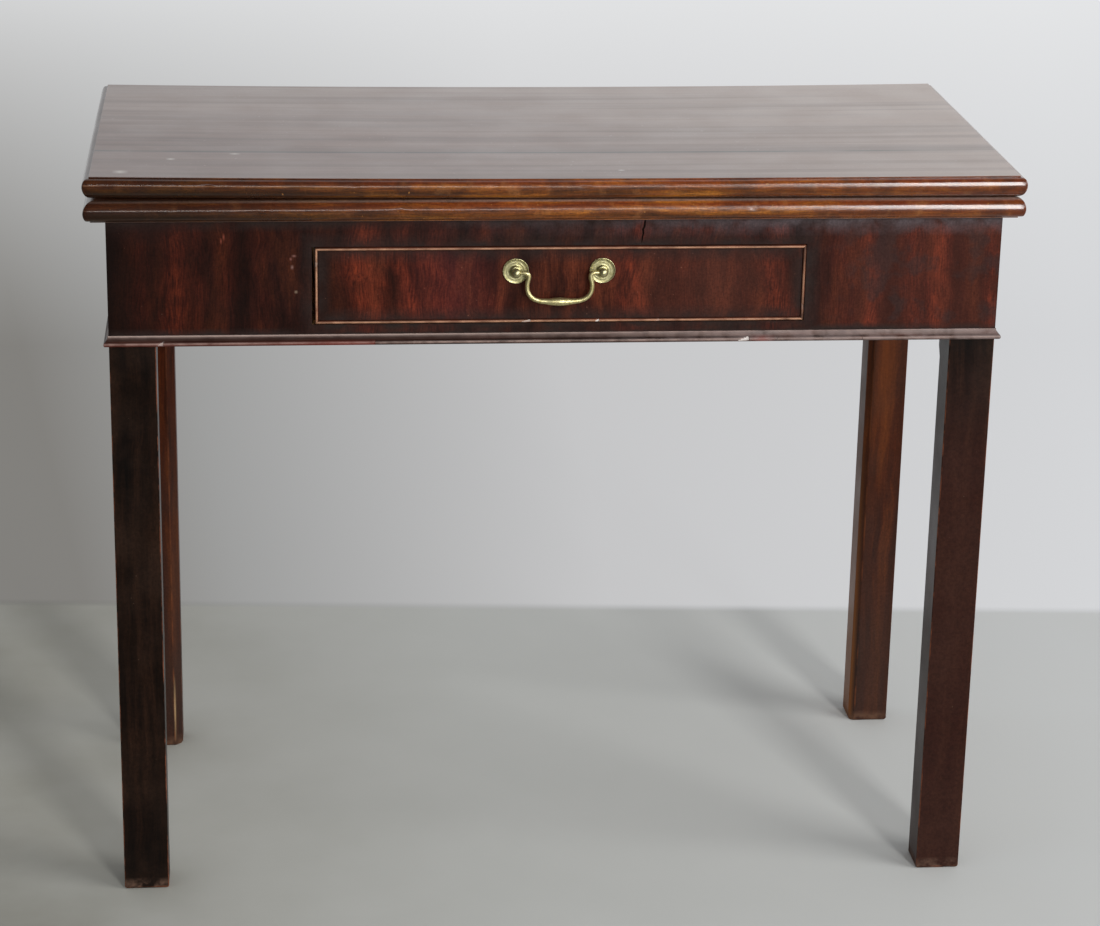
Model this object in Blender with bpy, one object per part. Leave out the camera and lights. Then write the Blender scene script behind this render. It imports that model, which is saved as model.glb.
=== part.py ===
"""Mahogany games table with a folding top, a frieze drawer and one swinging gate leg.

Metres, +Z up, the drawer faces -Y. The origin is on the floor, under the middle of
everything: the handle's posts reach furthest forward and the hinge knuckles furthest back.
"""
import math

import bmesh
import bpy
from mathutils import Matrix, Vector

# The two leaves of the top
TOP_WIDTH = 0.900
TOP_DEPTH = 0.429
TOP_HEIGHT = 0.738
LEAF_THICKNESS = 0.0206
LEAF_GAP = 0.0004
NOSE_RISE = 0.0112
NOSE_RUN_PLAY = 0.0095
NOSE_RUN_SHOW = 0.0068
NOSE_STEPS = 5
LEAF_FILLET_RISE = 0.0016
LEAF_FILLET_RUN = 0.0014
LEAF_FILLET_FALL = 0.0003

# Baize laid in a shallow recess of each playing face
BAIZE_MARGIN = 0.052
BAIZE_BACK_MARGIN = 0.020
BAIZE_THICKNESS = 0.0012
BAIZE_SUNK = 0.0003

# Overhang of the top, and the frieze
FRONT_OVERHANG = 0.0100
SIDE_OVERHANG = 0.0207
FRIEZE_HEIGHT = 0.1216
VENEER = 0.0015
RAIL_THICKNESS = 0.022
FRONT_BOTTOM_RAIL_DEPTH = 0.045
SEAT = 0.0003
OVERRUN = 0.010

# Lower edge moulding
MOULDING_HEIGHT = 0.0100
MOULDING_REACH = 0.0050
# Shares of the reach and of the height, round the outer side from the bottom
MOULDING_PROFILE_SHARES = (
    (0.64, 0.00), (0.90, 0.07), (1.00, 0.22), (0.93, 0.38), (0.76, 0.47),
    (0.66, 0.52), (0.36, 0.68), (0.18, 0.86), (0.12, 1.00))
MITRE_GAP = 0.00015

# Legs
FRONT_LEG_SIZE = 0.0445
REAR_LEG_DEPTH = 0.038
FIXED_REAR_LEG_WIDTH = 0.0518
GATE_LEG_WIDTH = 0.0435
FRONT_LEG_CHAMFER = 0.0060
FIXED_REAR_LEG_CHAMFER = 0.0087
GATE_LEG_CHAMFER = 0.0059
CHAMFER_STOP = 0.020
CHAMFER_STOP_RUN = 0.010
FOOT_ARRIS = 0.0018
REAR_SETBACK = 0.0035

# Mortise and tenon joints
TENON_THICKNESS = 0.008
TENON_LENGTH = 0.020
STUB_TENON_LENGTH = 0.012
TENON_SHOULDER = 0.003
SIDE_TENON_SHOULDER = 0.014

# Gate: the fly rail in two lengths that meet in a wooden knuckle joint
FLY_RAIL_THICKNESS = 0.0282
KNUCKLE_PLACE_X = 0.0
KNUCKLE_FINGERS = 5
KNUCKLE_CLEARANCE = 0.0008
KNUCKLE_BEVEL_DEGREES = 137.0
KNUCKLE_ARC_STEPS = 16
FINGER_GAP = 0.0005
KNUCKLE_PIN_DIAMETER = 0.008
PIN_CLEARANCE = 0.0004
GATE_TOP_CLEARANCE = 0.0004

# Drawer
DRAWER_WIDTH = 0.472
DRAWER_HEIGHT = 0.075
DRAWER_CENTRE_X = 0.0026
DRAWER_ABOVE_FRIEZE_FOOT = 0.0204
DRAWER_BACK_ROOM = 0.025
DRAWER_GAP = 0.0008
DRAWER_LEFT_GAP = 0.0028
DRAWER_FRONT_THICKNESS = 0.020
DRAWER_SIDE_THICKNESS = 0.0095
DRAWER_SIDE_INSET = 0.0010
DRAWER_BACK_THICKNESS = 0.0095
DRAWER_BOTTOM_THICKNESS = 0.006
DRAWER_BOTTOM_RAISE = 0.007
GROOVE_DEPTH = 0.005
DOVETAILS = 3
DOVETAIL_LAP = 0.0090
DOVETAIL_ROOT_SHARE = 0.62
DOVETAIL_TIP_SHARE = 0.82
DRAWER_BACK_DROP = 0.004
BEAD_WIDTH = 0.0033
BEAD_PROUD = 0.0020
BEAD_LET_IN = 0.008
BEAD_NOSE_STEPS = 4
STOP_WIDTH = 0.050
STOP_HEIGHT = 0.0045
STOP_DEPTH = 0.018
STOP_FROM_END = 0.116

# Runners and kickers that carry the drawer
RUNNER_HEIGHT = 0.0185
RUNNER_WIDTH = 0.036
GUIDE_HEIGHT = 0.020
GUIDE_WIDTH = 0.020

# Brass handle
HANDLE_CENTRES = 0.0834
HANDLE_CENTRE_X = -0.0002
HANDLE_ABOVE_DRAWER_FOOT = 0.0512
ROSETTE_DIAMETER = 0.0250
ROSETTE_THICKNESS = 0.0032
# Shares of the rosette's radius and thickness, from its back edge to its hole
ROSETTE_PROFILE_SHARES = (
    (1.00, 0.00), (1.00, 0.38), (0.93, 0.62), (0.84, 0.62), (0.78, 0.44),
    (0.66, 0.44), (0.60, 0.72), (0.50, 0.78), (0.44, 0.60), (0.38, 1.00))
ROSETTE_SIDES = 28
POST_DIAMETER = 0.0052
POST_HEAD_DIAMETER = 0.0090
POST_POLE_DIAMETER = 0.0008
POST_TAIL_PROUD = 0.0009
POST_SIDES = 14
BAIL_STANDOFF = 0.0090
BAIL_DROP = 0.0285
BAIL_ROD = 0.0042
BAIL_SWELL = 0.0080
BAIL_STUB = 0.0030
# Half of the bail as shares: across, of half the post spacing; down, of the drop;
# thickness, from the stub's to the rod's.
BAIL_ARM_SHARES = (
    (1.000, 0.000), (0.900, 0.000), (0.790, 0.006), (0.722, 0.060), (0.716, 0.170),
    (0.740, 0.320), (0.750, 0.490), (0.722, 0.680), (0.640, 0.845), (0.500, 0.950))
BAIL_MIDDLE_SHARES = ((0.310, 0.990, 0.12), (0.150, 1.000, 0.62), (0.000, 1.000, 1.00))
BAIL_STUB_POINTS = 2
BAIL_CURVE_STEPS = 2
BAIL_BEVEL_STEPS = 2
NUT_SIZE = 0.011
NUT_THICKNESS = 0.003
NUT_SIDES = 6

# Brass butt hinges on the back edges of the leaves
HINGE_FROM_END = 0.150
HINGE_LENGTH = 0.060
HINGE_PLATE_HEIGHT = 0.0145
HINGE_PLATE_THICKNESS = 0.0018
HINGE_KNUCKLE_DIAMETER = 0.0052
HINGE_MIDDLE_SHARE = 0.36
HINGE_PIN_DIAMETER = 0.0020
HINGE_CLEARANCE = 0.0004
KNUCKLE_GROOVE_CLEARANCE = 0.0008
HINGE_SIDES = 16
SCREW_HOLE_DIAMETER = 0.0036
HINGE_SCREW_SPREAD = 0.021

# Screws and glue blocks
SCREW_HEAD_DIAMETER = 0.0084
SCREW_HEAD_THICKNESS = 0.0024
SCREW_SHANK_DIAMETER = 0.0040
SCREW_TIP_DIAMETER = 0.0010
SCREW_POCKET_DEPTH = 0.008
SCREW_BITE = 0.0115
SCREW_CLEARANCE = 0.0004
SCREW_SIDES = 12
TOP_SCREW_END_SHARE = 0.22
FLY_SCREW_PLACE_SHARES = (0.30, 0.80)
GLUE_BLOCK_SIZE = 0.026
GLUE_BLOCK_LENGTH = 0.090

# Heights that follow
PLAY_Z = TOP_HEIGHT - LEAF_THICKNESS - LEAF_GAP / 2
LEAF_UNDERSIDE = PLAY_Z - LEAF_GAP / 2 - LEAF_THICKNESS
RAIL_TOP = LEAF_UNDERSIDE - SEAT
FRIEZE_FOOT = RAIL_TOP - FRIEZE_HEIGHT
MOULDING_TOP = FRIEZE_FOOT + MOULDING_HEIGHT
GATE_TOP = LEAF_UNDERSIDE - GATE_TOP_CLEARANCE
DRAWER_FOOT = FRIEZE_FOOT + DRAWER_ABOVE_FRIEZE_FOOT
DRAWER_HEAD = DRAWER_FOOT + DRAWER_HEIGHT
OPENING_FOOT = DRAWER_FOOT - DRAWER_GAP
OPENING_HEAD = DRAWER_HEAD + DRAWER_GAP
BAIL_Z = DRAWER_FOOT + HANDLE_ABOVE_DRAWER_FOOT

# Depths that follow, front to back
HEAD_REACH = BAIL_STANDOFF + POST_HEAD_DIAMETER / 2 - FRONT_OVERHANG
KNUCKLE_REACH = HINGE_KNUCKLE_DIAMETER / 2
NOSE_Y = (HEAD_REACH - TOP_DEPTH - KNUCKLE_REACH) / 2
HINGE_Y = NOSE_Y + TOP_DEPTH
LEAF_BACK_Y = HINGE_Y - LEAF_GAP / 2
FRIEZE_Y = NOSE_Y + FRONT_OVERHANG
RAIL_FACE_Y = FRIEZE_Y + VENEER + SEAT
FRONT_LEG_BACK_Y = FRIEZE_Y + FRONT_LEG_SIZE
FLY_BACK_Y = HINGE_Y - REAR_SETBACK
FLY_FRONT_Y = FLY_BACK_Y - FLY_RAIL_THICKNESS
CARCASE_BACK_Y = FLY_FRONT_Y - SEAT
GATE_LEG_FRONT_Y = FLY_BACK_Y - REAR_LEG_DEPTH
FIXED_LEG_FRONT_Y = CARCASE_BACK_Y - REAR_LEG_DEPTH
BACK_RAIL_FRONT_Y = CARCASE_BACK_Y - RAIL_THICKNESS
PIN_Y = (FLY_FRONT_Y + FLY_BACK_Y) / 2
BAIL_Y = FRIEZE_Y - BAIL_STANDOFF
DRAWER_FRONT_BACK_Y = FRIEZE_Y + DRAWER_FRONT_THICKNESS
DRAWER_BACK_Y = BACK_RAIL_FRONT_Y - DRAWER_BACK_ROOM

# Widths that follow, from the middle
FRIEZE_X = TOP_WIDTH / 2 - SIDE_OVERHANG
RAIL_FACE_X = FRIEZE_X - VENEER - SEAT
SIDE_RAIL_INNER_X = RAIL_FACE_X - RAIL_THICKNESS
FRONT_LEG_INNER_X = FRIEZE_X - FRONT_LEG_SIZE
FIXED_LEG_INNER_X = FRIEZE_X - FIXED_REAR_LEG_WIDTH
GATE_LEG_INNER_X = FRIEZE_X - GATE_LEG_WIDTH
DRAWER_LEFT_X = DRAWER_CENTRE_X - DRAWER_WIDTH / 2
DRAWER_RIGHT_X = DRAWER_CENTRE_X + DRAWER_WIDTH / 2
HINGE_SPREAD = TOP_WIDTH / 2 - HINGE_FROM_END
STOP_SPREAD = DRAWER_WIDTH / 2 - STOP_FROM_END
OPENING_LEFT_X = DRAWER_LEFT_X - DRAWER_LEFT_GAP
OPENING_RIGHT_X = DRAWER_RIGHT_X + DRAWER_GAP

X, Y, Z = Vector((1, 0, 0)), Vector((0, 1, 0)), Vector((0, 0, 1))
SIDES = (("left", -1), ("right", 1))


def clear_scene():
    for obj in list(bpy.data.objects):
        bpy.data.objects.remove(obj, do_unlink=True)


def material(name, colour, roughness, metallic=0.0):
    found = bpy.data.materials.get(name)
    if found:
        return found
    made = bpy.data.materials.new(name)
    made.use_nodes = True
    shader = made.node_tree.nodes["Principled BSDF"]
    shader.inputs["Base Color"].default_value = (*colour, 1.0)
    shader.inputs["Roughness"].default_value = roughness
    shader.inputs["Metallic"].default_value = metallic
    made.diffuse_color = (*colour, 1.0)
    return made


def top_mahogany():
    return material("top mahogany", (0.15, 0.085, 0.06), 0.3)


def frieze_veneer():
    return material("frieze veneer", (0.07, 0.018, 0.012), 0.3)


def leg_mahogany():
    return material("leg mahogany", (0.035, 0.014, 0.010), 0.35)


def gate_mahogany():
    return material("gate mahogany", (0.12, 0.040, 0.015), 0.4)


def bead_mahogany():
    return material("bead mahogany", (0.25, 0.09, 0.05), 0.35)


def carcase_pine():
    return material("carcase pine", (0.42, 0.25, 0.12), 0.7)


def drawer_oak():
    return material("drawer oak", (0.38, 0.24, 0.12), 0.6)


def green_baize():
    return material("green baize", (0.02, 0.10, 0.05), 0.95)


def brass():
    return material("brass", (0.60, 0.52, 0.26), 0.25, 1.0)


def iron():
    return material("iron", (0.10, 0.09, 0.085), 0.5, 1.0)


def finish(name, mesh_data, slot):
    """Turn a bmesh into an object whose faces all point out."""
    bmesh.ops.recalc_face_normals(mesh_data, faces=mesh_data.faces)
    mesh = bpy.data.meshes.new(name)
    mesh_data.to_mesh(mesh)
    mesh_data.free()
    obj = bpy.data.objects.new(name, mesh)
    bpy.context.scene.collection.objects.link(obj)
    if slot:
        mesh.materials.append(slot)
    return obj


def box(name, low, high, slot=None):
    mesh_data = bmesh.new()
    bmesh.ops.create_cube(mesh_data, size=1.0)
    size = Vector(high) - Vector(low)
    middle = (Vector(high) + Vector(low)) / 2
    bmesh.ops.transform(mesh_data, verts=mesh_data.verts,
                        matrix=Matrix.Translation(middle) @ Matrix.Diagonal((*size, 1.0)))
    return finish(name, mesh_data, slot)


def rings_to_solid(name, rings, slot=None, closed=False):
    """Bridge rings of as many points each; the two end rings are capped, or joined if closed."""
    mesh_data = bmesh.new()
    loops = [[mesh_data.verts.new(point) for point in ring] for ring in rings]
    pairs = list(zip(loops, loops[1:]))
    if closed:
        pairs.append((loops[-1], loops[0]))
    for lower, upper in pairs:
        count = len(lower)
        for i in range(count):
            after = (i + 1) % count
            mesh_data.faces.new((lower[i], lower[after], upper[after], upper[i]))
    if not closed:
        mesh_data.faces.new(loops[0])
        mesh_data.faces.new(loops[-1])
    return finish(name, mesh_data, slot)


def strip(name, start, end, out, up, profile, slot=None, start_mitre=0, end_mitre=0):
    """Run a profile of (out, up) points from start to end; a mitre leans an end by the out value."""
    start, end = Vector(start), Vector(end)
    along = (end - start).normalized()
    first = [start + out * p + up * h - along * (start_mitre * p) for p, h in profile]
    last = [end + out * p + up * h + along * (end_mitre * p) for p, h in profile]
    return rings_to_solid(name, [first, last], slot)


def turned(name, centre, axis, profile, sides, slot=None, closed=False, smooth=True):
    """Turn a profile of (radius, along) points about an axis through centre."""
    spin = Vector(axis).to_track_quat("Z", "Y").to_matrix()
    rings = []
    for radius, along in profile:
        ring = []
        for i in range(sides):
            angle = math.tau * (i + 0.5) / sides
            local = Vector((radius * math.cos(angle), radius * math.sin(angle), along))
            ring.append(Vector(centre) + spin @ local)
        rings.append(ring)
    obj = rings_to_solid(name, rings, slot, closed)
    if smooth:
        obj.data.shade_smooth()
        obj.data.set_sharp_from_angle(angle=math.radians(40))
    return obj


def rod(name, start, end, diameter, sides, slot=None):
    start, end = Vector(start), Vector(end)
    profile = [(diameter / 2, 0), (diameter / 2, (end - start).length)]
    return turned(name, start, end - start, profile, sides, slot)


def hide(tool):
    tool.hide_render = True
    tool.display_type = "WIRE"
    return tool


def cut(obj, tool):
    change = obj.modifiers.new(tool.name, "BOOLEAN")
    change.operation = "DIFFERENCE"
    change.solver = "EXACT"
    change.object = hide(tool)
    return obj


def add(obj, tool):
    change = obj.modifiers.new(tool.name, "BOOLEAN")
    change.operation = "UNION"
    change.solver = "EXACT"
    change.object = hide(tool)
    return obj


def grown(low, high, by):
    """A box's corners moved outward by a clearance on every side."""
    step = Vector((by, by, by))
    return Vector(low) - step, Vector(high) + step


def pivot(name, place):
    empty = bpy.data.objects.new(name, None)
    empty.location = place
    bpy.context.scene.collection.objects.link(empty)
    return empty


def carry(empty, pieces):
    """Hang pieces on a joint's empty without moving them."""
    for piece in pieces:
        shift = Matrix.Translation(-empty.location)
        piece.data.transform(shift)
        piece.parent = empty


def leaf_profile():
    """Points (run back from the nose, rise from the playing face) of the thumb-moulded edge."""
    points = []
    for i in range(NOSE_STEPS + 1):
        angle = math.pi / 2 * i / NOSE_STEPS
        points.append((NOSE_RUN_PLAY * (1 - math.sin(angle)), NOSE_RISE * (1 - math.cos(angle))))
    show_rise = LEAF_THICKNESS - LEAF_FILLET_RISE - NOSE_RISE
    for i in range(1, NOSE_STEPS + 1):
        angle = math.pi / 2 * i / NOSE_STEPS
        points.append((NOSE_RUN_SHOW * (1 - math.cos(angle)), NOSE_RISE + show_rise * math.sin(angle)))
    fillet_run = NOSE_RUN_SHOW + LEAF_FILLET_RUN
    points.append((fillet_run, LEAF_THICKNESS - LEAF_FILLET_RISE + LEAF_FILLET_FALL))
    points.append((fillet_run, LEAF_THICKNESS))
    return points


def leaf(name, way):
    """One leaf of the top: moulded on the front and ends, square at the hinged back edge."""
    rings = []
    for run, rise in leaf_profile():
        x = TOP_WIDTH / 2 - run
        z = PLAY_Z + way * (LEAF_GAP / 2 + rise)
        front = NOSE_Y + run
        rings.append([(-x, front, z), (x, front, z), (x, LEAF_BACK_Y, z), (-x, LEAF_BACK_Y, z)])
    obj = rings_to_solid(name, rings, top_mahogany())
    low, high = grown(*baize_corners(way), SEAT)
    if way > 0:
        low.z = PLAY_Z - OVERRUN
    else:
        high.z = PLAY_Z + OVERRUN
    cut(obj, box(name + " recess", low, high))
    for side, sign in SIDES:
        cut_hinge_seat(obj, side, sign, way)
    return obj


def baize_corners(way):
    x = TOP_WIDTH / 2 - BAIZE_MARGIN
    near = PLAY_Z + way * (LEAF_GAP / 2 + BAIZE_SUNK)
    far = near + way * BAIZE_THICKNESS
    low = Vector((-x, NOSE_Y + BAIZE_MARGIN, min(near, far)))
    high = Vector((x, LEAF_BACK_Y - BAIZE_BACK_MARGIN, max(near, far)))
    return low, high


def baize(name, way):
    return box(name, *baize_corners(way), green_baize())


def hinge_plate_corners(sign, way):
    x = sign * HINGE_SPREAD
    back = LEAF_BACK_Y
    front = back - HINGE_PLATE_THICKNESS
    near = PLAY_Z + way * LEAF_GAP
    far = PLAY_Z + way * HINGE_PLATE_HEIGHT
    low = Vector((x - HINGE_LENGTH / 2, front, min(near, far)))
    high = Vector((x + HINGE_LENGTH / 2, back, max(near, far)))
    return low, high


def cut_hinge_seat(obj, side, sign, way):
    low, high = grown(*hinge_plate_corners(sign, way), SEAT)
    high.y += OVERRUN
    if way > 0:
        low.z -= OVERRUN
    else:
        high.z += OVERRUN
    cut(obj, box(f"{obj.name} {side} hinge seat", low, high))
    start = Vector((low.x - SEAT, HINGE_Y, PLAY_Z))
    end = Vector((high.x + SEAT, HINGE_Y, PLAY_Z))
    groove = rod(f"{obj.name} {side} knuckle groove", start, end,
                 HINGE_KNUCKLE_DIAMETER + 2 * KNUCKLE_GROOVE_CLEARANCE, HINGE_SIDES)
    cut(obj, groove)


def hinge_knuckle_spans():
    """Where each plate's knuckles lie along the hinge: (from, to, way of the plate)."""
    half = HINGE_LENGTH / 2
    middle = half * HINGE_MIDDLE_SHARE
    return ((-half, -middle, -1), (-middle, middle, 1), (middle, half, -1))


def hinge_plate_outline(way):
    """Section (back from the axis, rise towards the plate) of a plate and its knuckle."""
    radius = HINGE_KNUCKLE_DIAMETER / 2
    back = LEAF_GAP / 2
    front = back + HINGE_PLATE_THICKNESS
    first = math.atan2(math.sqrt(radius ** 2 - front ** 2), -front)
    last = math.atan2(math.sqrt(radius ** 2 - back ** 2), -back)
    points = [(-back, HINGE_PLATE_HEIGHT), (-front, HINGE_PLATE_HEIGHT)]
    turn = math.tau - (first - last)
    for i in range(HINGE_SIDES + 1):
        angle = first + turn * i / HINGE_SIDES
        points.append((radius * math.cos(angle), radius * math.sin(angle)))
    return points


def hinge_plate(name, sign, way):
    x = sign * HINGE_SPREAD
    half = HINGE_LENGTH / 2
    plate = strip(name, (x - half, HINGE_Y, PLAY_Z), (x + half, HINGE_Y, PLAY_Z), Y, Z * way,
                  hinge_plate_outline(way), brass())
    for i, (start, end, owner) in enumerate(hinge_knuckle_spans()):
        if owner == way:
            continue
        left = x + start - (OVERRUN if start == -half else HINGE_CLEARANCE / 2)
        right = x + end + (OVERRUN if end == half else HINGE_CLEARANCE / 2)
        cut(plate, rod(f"{name} hollow {i}", (left, HINGE_Y, PLAY_Z), (right, HINGE_Y, PLAY_Z),
                       HINGE_KNUCKLE_DIAMETER + 2 * HINGE_CLEARANCE, HINGE_SIDES))
    reach = half + OVERRUN
    bore = rod(f"{name} bore", (x - reach, HINGE_Y, PLAY_Z), (x + reach, HINGE_Y, PLAY_Z),
               HINGE_PIN_DIAMETER + 2 * PIN_CLEARANCE, HINGE_SIDES)
    cut(plate, bore)
    low, high = hinge_plate_corners(sign, way)
    for step in (-1, 1):
        hole_x = x + step * HINGE_SCREW_SPREAD
        hole_z = (low.z + high.z) / 2
        cut(plate, rod(f"{name} screw hole {step}", (hole_x, low.y - OVERRUN, hole_z),
                       (hole_x, high.y + OVERRUN, hole_z), SCREW_HOLE_DIAMETER, HINGE_SIDES))
    return plate


def hinge_pin(name, sign):
    x = sign * HINGE_SPREAD
    half = HINGE_LENGTH / 2
    return rod(name, (x - half, HINGE_Y, PLAY_Z), (x + half, HINGE_Y, PLAY_Z),
               HINGE_PIN_DIAMETER, HINGE_SIDES, brass())


def tenon_z(low, high, shoulder):
    return low + shoulder, high - shoulder


def front_rail_tenon(sign, low_z, high_z):
    """Corners of the tenon that a front rail pushes into a front leg."""
    bottom, top = tenon_z(low_z, high_z, TENON_SHOULDER)
    middle = RAIL_FACE_Y + RAIL_THICKNESS / 2
    ends = sorted((sign * (FRONT_LEG_INNER_X - SEAT), sign * (FRONT_LEG_INNER_X + TENON_LENGTH)))
    return (Vector((ends[0], middle - TENON_THICKNESS / 2, bottom)),
            Vector((ends[1], middle + TENON_THICKNESS / 2, top)))


def side_rail_tenon(sign, from_y, to_y):
    """Corners of the tenon at an end of a side rail."""
    bottom, top = tenon_z(FRIEZE_FOOT, RAIL_TOP, SIDE_TENON_SHOULDER)
    middle = sign * (RAIL_FACE_X - RAIL_THICKNESS / 2)
    return (Vector((middle - TENON_THICKNESS / 2, from_y, bottom)),
            Vector((middle + TENON_THICKNESS / 2, to_y, top)))


def back_rail_tenon(from_x, to_x):
    bottom, top = tenon_z(FRIEZE_FOOT, RAIL_TOP, SIDE_TENON_SHOULDER)
    middle = (BACK_RAIL_FRONT_Y + CARCASE_BACK_Y) / 2
    return (Vector((from_x, middle - TENON_THICKNESS / 2, bottom)),
            Vector((to_x, middle + TENON_THICKNESS / 2, top)))


def gate_tenon():
    bottom, top = tenon_z(FRIEZE_FOOT, GATE_TOP, SIDE_TENON_SHOULDER)
    return (Vector((GATE_LEG_INNER_X - SEAT, PIN_Y - TENON_THICKNESS / 2, bottom)),
            Vector((GATE_LEG_INNER_X + TENON_LENGTH, PIN_Y + TENON_THICKNESS / 2, top)))


def add_tenon(rail, corners, label, root):
    """Union a tenon whose root runs back into the rail by the overrun."""
    low, high = corners
    tool = box(f"{rail.name} tenon {label}", low + Vector(root[0]), high + Vector(root[1]))
    return add(rail, tool)


def mortise(post, corners, label):
    return cut(post, box(f"{post.name} mortise {label}", *grown(*corners, SEAT)))


def foot_box(name, low, high, slot):
    """A square leg whose four bottom arrises are eased."""
    run = FOOT_ARRIS
    rings = []
    for inset, z in ((run, low[2]), (0, low[2] + run), (0, high[2])):
        x0, x1 = low[0] + inset, high[0] - inset
        y0, y1 = low[1] + inset, high[1] - inset
        rings.append([(x0, y0, z), (x1, y0, z), (x1, y1, z), (x0, y1, z)])
    return rings_to_solid(name, rings, slot)


def stopped_chamfer(leg, corner_x, corner_y, inward_x, inward_y, size):
    """Plane off one arris from the floor up to a stop below the frieze."""
    stop = FRIEZE_FOOT - CHAMFER_STOP
    out_x = corner_x - inward_x * OVERRUN
    out_y = corner_y - inward_y * OVERRUN
    rings = []
    for z, width in ((-OVERRUN, size), (stop - CHAMFER_STOP_RUN, size), (stop, 0)):
        reach = width + OVERRUN
        rings.append([(out_x, out_y, z), (out_x + inward_x * (reach + OVERRUN), out_y, z),
                      (out_x, out_y + inward_y * (reach + OVERRUN), z)])
    return cut(leg, rings_to_solid(f"{leg.name} chamfer", rings))


def front_leg(side, sign):
    inner, outer = sorted((sign * FRONT_LEG_INNER_X, sign * FRIEZE_X))
    leg = foot_box(f"front_leg_{side}", (inner, FRIEZE_Y, 0), (outer, FRONT_LEG_BACK_Y, RAIL_TOP),
                   leg_mahogany())
    start_z = FRIEZE_FOOT - SEAT
    end_z = RAIL_TOP + OVERRUN
    cut(leg, box(f"{leg.name} front rebate", (inner - OVERRUN, FRIEZE_Y - OVERRUN, start_z),
                 (outer + OVERRUN, RAIL_FACE_Y, end_z)))
    near, far = sorted((sign * RAIL_FACE_X, sign * (FRIEZE_X + OVERRUN)))
    cut(leg, box(f"{leg.name} side rebate", (near, FRIEZE_Y - OVERRUN, start_z),
                 (far, FRONT_LEG_BACK_Y + OVERRUN, end_z)))
    mortise(leg, front_rail_tenon(sign, FRIEZE_FOOT, OPENING_FOOT), "bottom rail")
    mortise(leg, front_rail_tenon(sign, OPENING_HEAD, RAIL_TOP), "top rail")
    tenon = side_rail_tenon(sign, FRONT_LEG_BACK_Y - TENON_LENGTH, FRONT_LEG_BACK_Y + SEAT)
    mortise(leg, tenon, "side rail")
    stopped_chamfer(leg, sign * FRONT_LEG_INNER_X, FRONT_LEG_BACK_Y, sign, -1, FRONT_LEG_CHAMFER)
    return leg


def fixed_rear_leg():
    leg = foot_box("rear_leg_left", (-FRIEZE_X, FIXED_LEG_FRONT_Y, 0),
                   (-FIXED_LEG_INNER_X, CARCASE_BACK_Y, RAIL_TOP), gate_mahogany())
    cut(leg, box(f"{leg.name} side rebate",
                 (-FRIEZE_X - OVERRUN, FIXED_LEG_FRONT_Y - OVERRUN, FRIEZE_FOOT - SEAT),
                 (-RAIL_FACE_X, CARCASE_BACK_Y + OVERRUN, RAIL_TOP + OVERRUN)))
    tenon = side_rail_tenon(-1, FIXED_LEG_FRONT_Y - SEAT, FIXED_LEG_FRONT_Y + STUB_TENON_LENGTH)
    mortise(leg, tenon, "side rail")
    tenon = back_rail_tenon(-FIXED_LEG_INNER_X - TENON_LENGTH, -FIXED_LEG_INNER_X + SEAT)
    mortise(leg, tenon, "back rail")
    stopped_chamfer(leg, -FIXED_LEG_INNER_X, FIXED_LEG_FRONT_Y, -1, 1, FIXED_REAR_LEG_CHAMFER)
    return leg


def gate_leg():
    """The swinging leg, notched above to pass behind the back rail's line."""
    leg = foot_box("gate_leg", (GATE_LEG_INNER_X, GATE_LEG_FRONT_Y, 0),
                   (FRIEZE_X, FLY_BACK_Y, GATE_TOP), gate_mahogany())
    cut(leg, box(f"{leg.name} notch",
                 (GATE_LEG_INNER_X - OVERRUN, GATE_LEG_FRONT_Y - OVERRUN, FRIEZE_FOOT - SEAT),
                 (FRIEZE_X + OVERRUN, FLY_FRONT_Y, GATE_TOP + OVERRUN)))
    mortise(leg, gate_tenon(), "fly rail")
    stopped_chamfer(leg, GATE_LEG_INNER_X, GATE_LEG_FRONT_Y, 1, 1, GATE_LEG_CHAMFER)
    return leg


def front_rail(name, low_z, high_z, depth):
    x = FRONT_LEG_INNER_X - SEAT
    rail = box(name, (-x, RAIL_FACE_Y, low_z), (x, RAIL_FACE_Y + depth, high_z), carcase_pine())
    for side, sign in SIDES:
        root = ((-OVERRUN, 0, 0), (0, 0, 0)) if sign > 0 else ((0, 0, 0), (OVERRUN, 0, 0))
        add_tenon(rail, front_rail_tenon(sign, low_z, high_z), side, root)
    return rail


def front_panel(side, sign):
    """The blocking between the rails, beside the drawer opening."""
    inner = OPENING_LEFT_X if sign < 0 else OPENING_RIGHT_X
    ends = sorted((sign * (FRONT_LEG_INNER_X - SEAT), inner))
    return box(f"front_panel_{side}", (ends[0], RAIL_FACE_Y, OPENING_FOOT + SEAT),
               (ends[1], RAIL_FACE_Y + RAIL_THICKNESS, OPENING_HEAD - SEAT), carcase_pine())


def side_rail(side, sign):
    ends = sorted((sign * SIDE_RAIL_INNER_X, sign * RAIL_FACE_X))
    rear_y = FIXED_LEG_FRONT_Y - SEAT if sign < 0 else CARCASE_BACK_Y
    front_y = FRONT_LEG_BACK_Y + SEAT
    rail = box(f"side_rail_{side}", (ends[0], front_y, FRIEZE_FOOT), (ends[1], rear_y, RAIL_TOP),
               carcase_pine())
    add_tenon(rail, side_rail_tenon(sign, FRONT_LEG_BACK_Y - TENON_LENGTH, front_y), "front",
              ((0, 0, 0), (0, OVERRUN, 0)))
    if sign < 0:
        tenon = side_rail_tenon(sign, rear_y, FIXED_LEG_FRONT_Y + STUB_TENON_LENGTH)
        add_tenon(rail, tenon, "rear", ((0, -OVERRUN, 0), (0, 0, 0)))
    else:
        tenon = back_rail_tenon(SIDE_RAIL_INNER_X - SEAT, SIDE_RAIL_INNER_X + STUB_TENON_LENGTH)
        mortise(rail, tenon, "back rail")
    return rail


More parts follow.
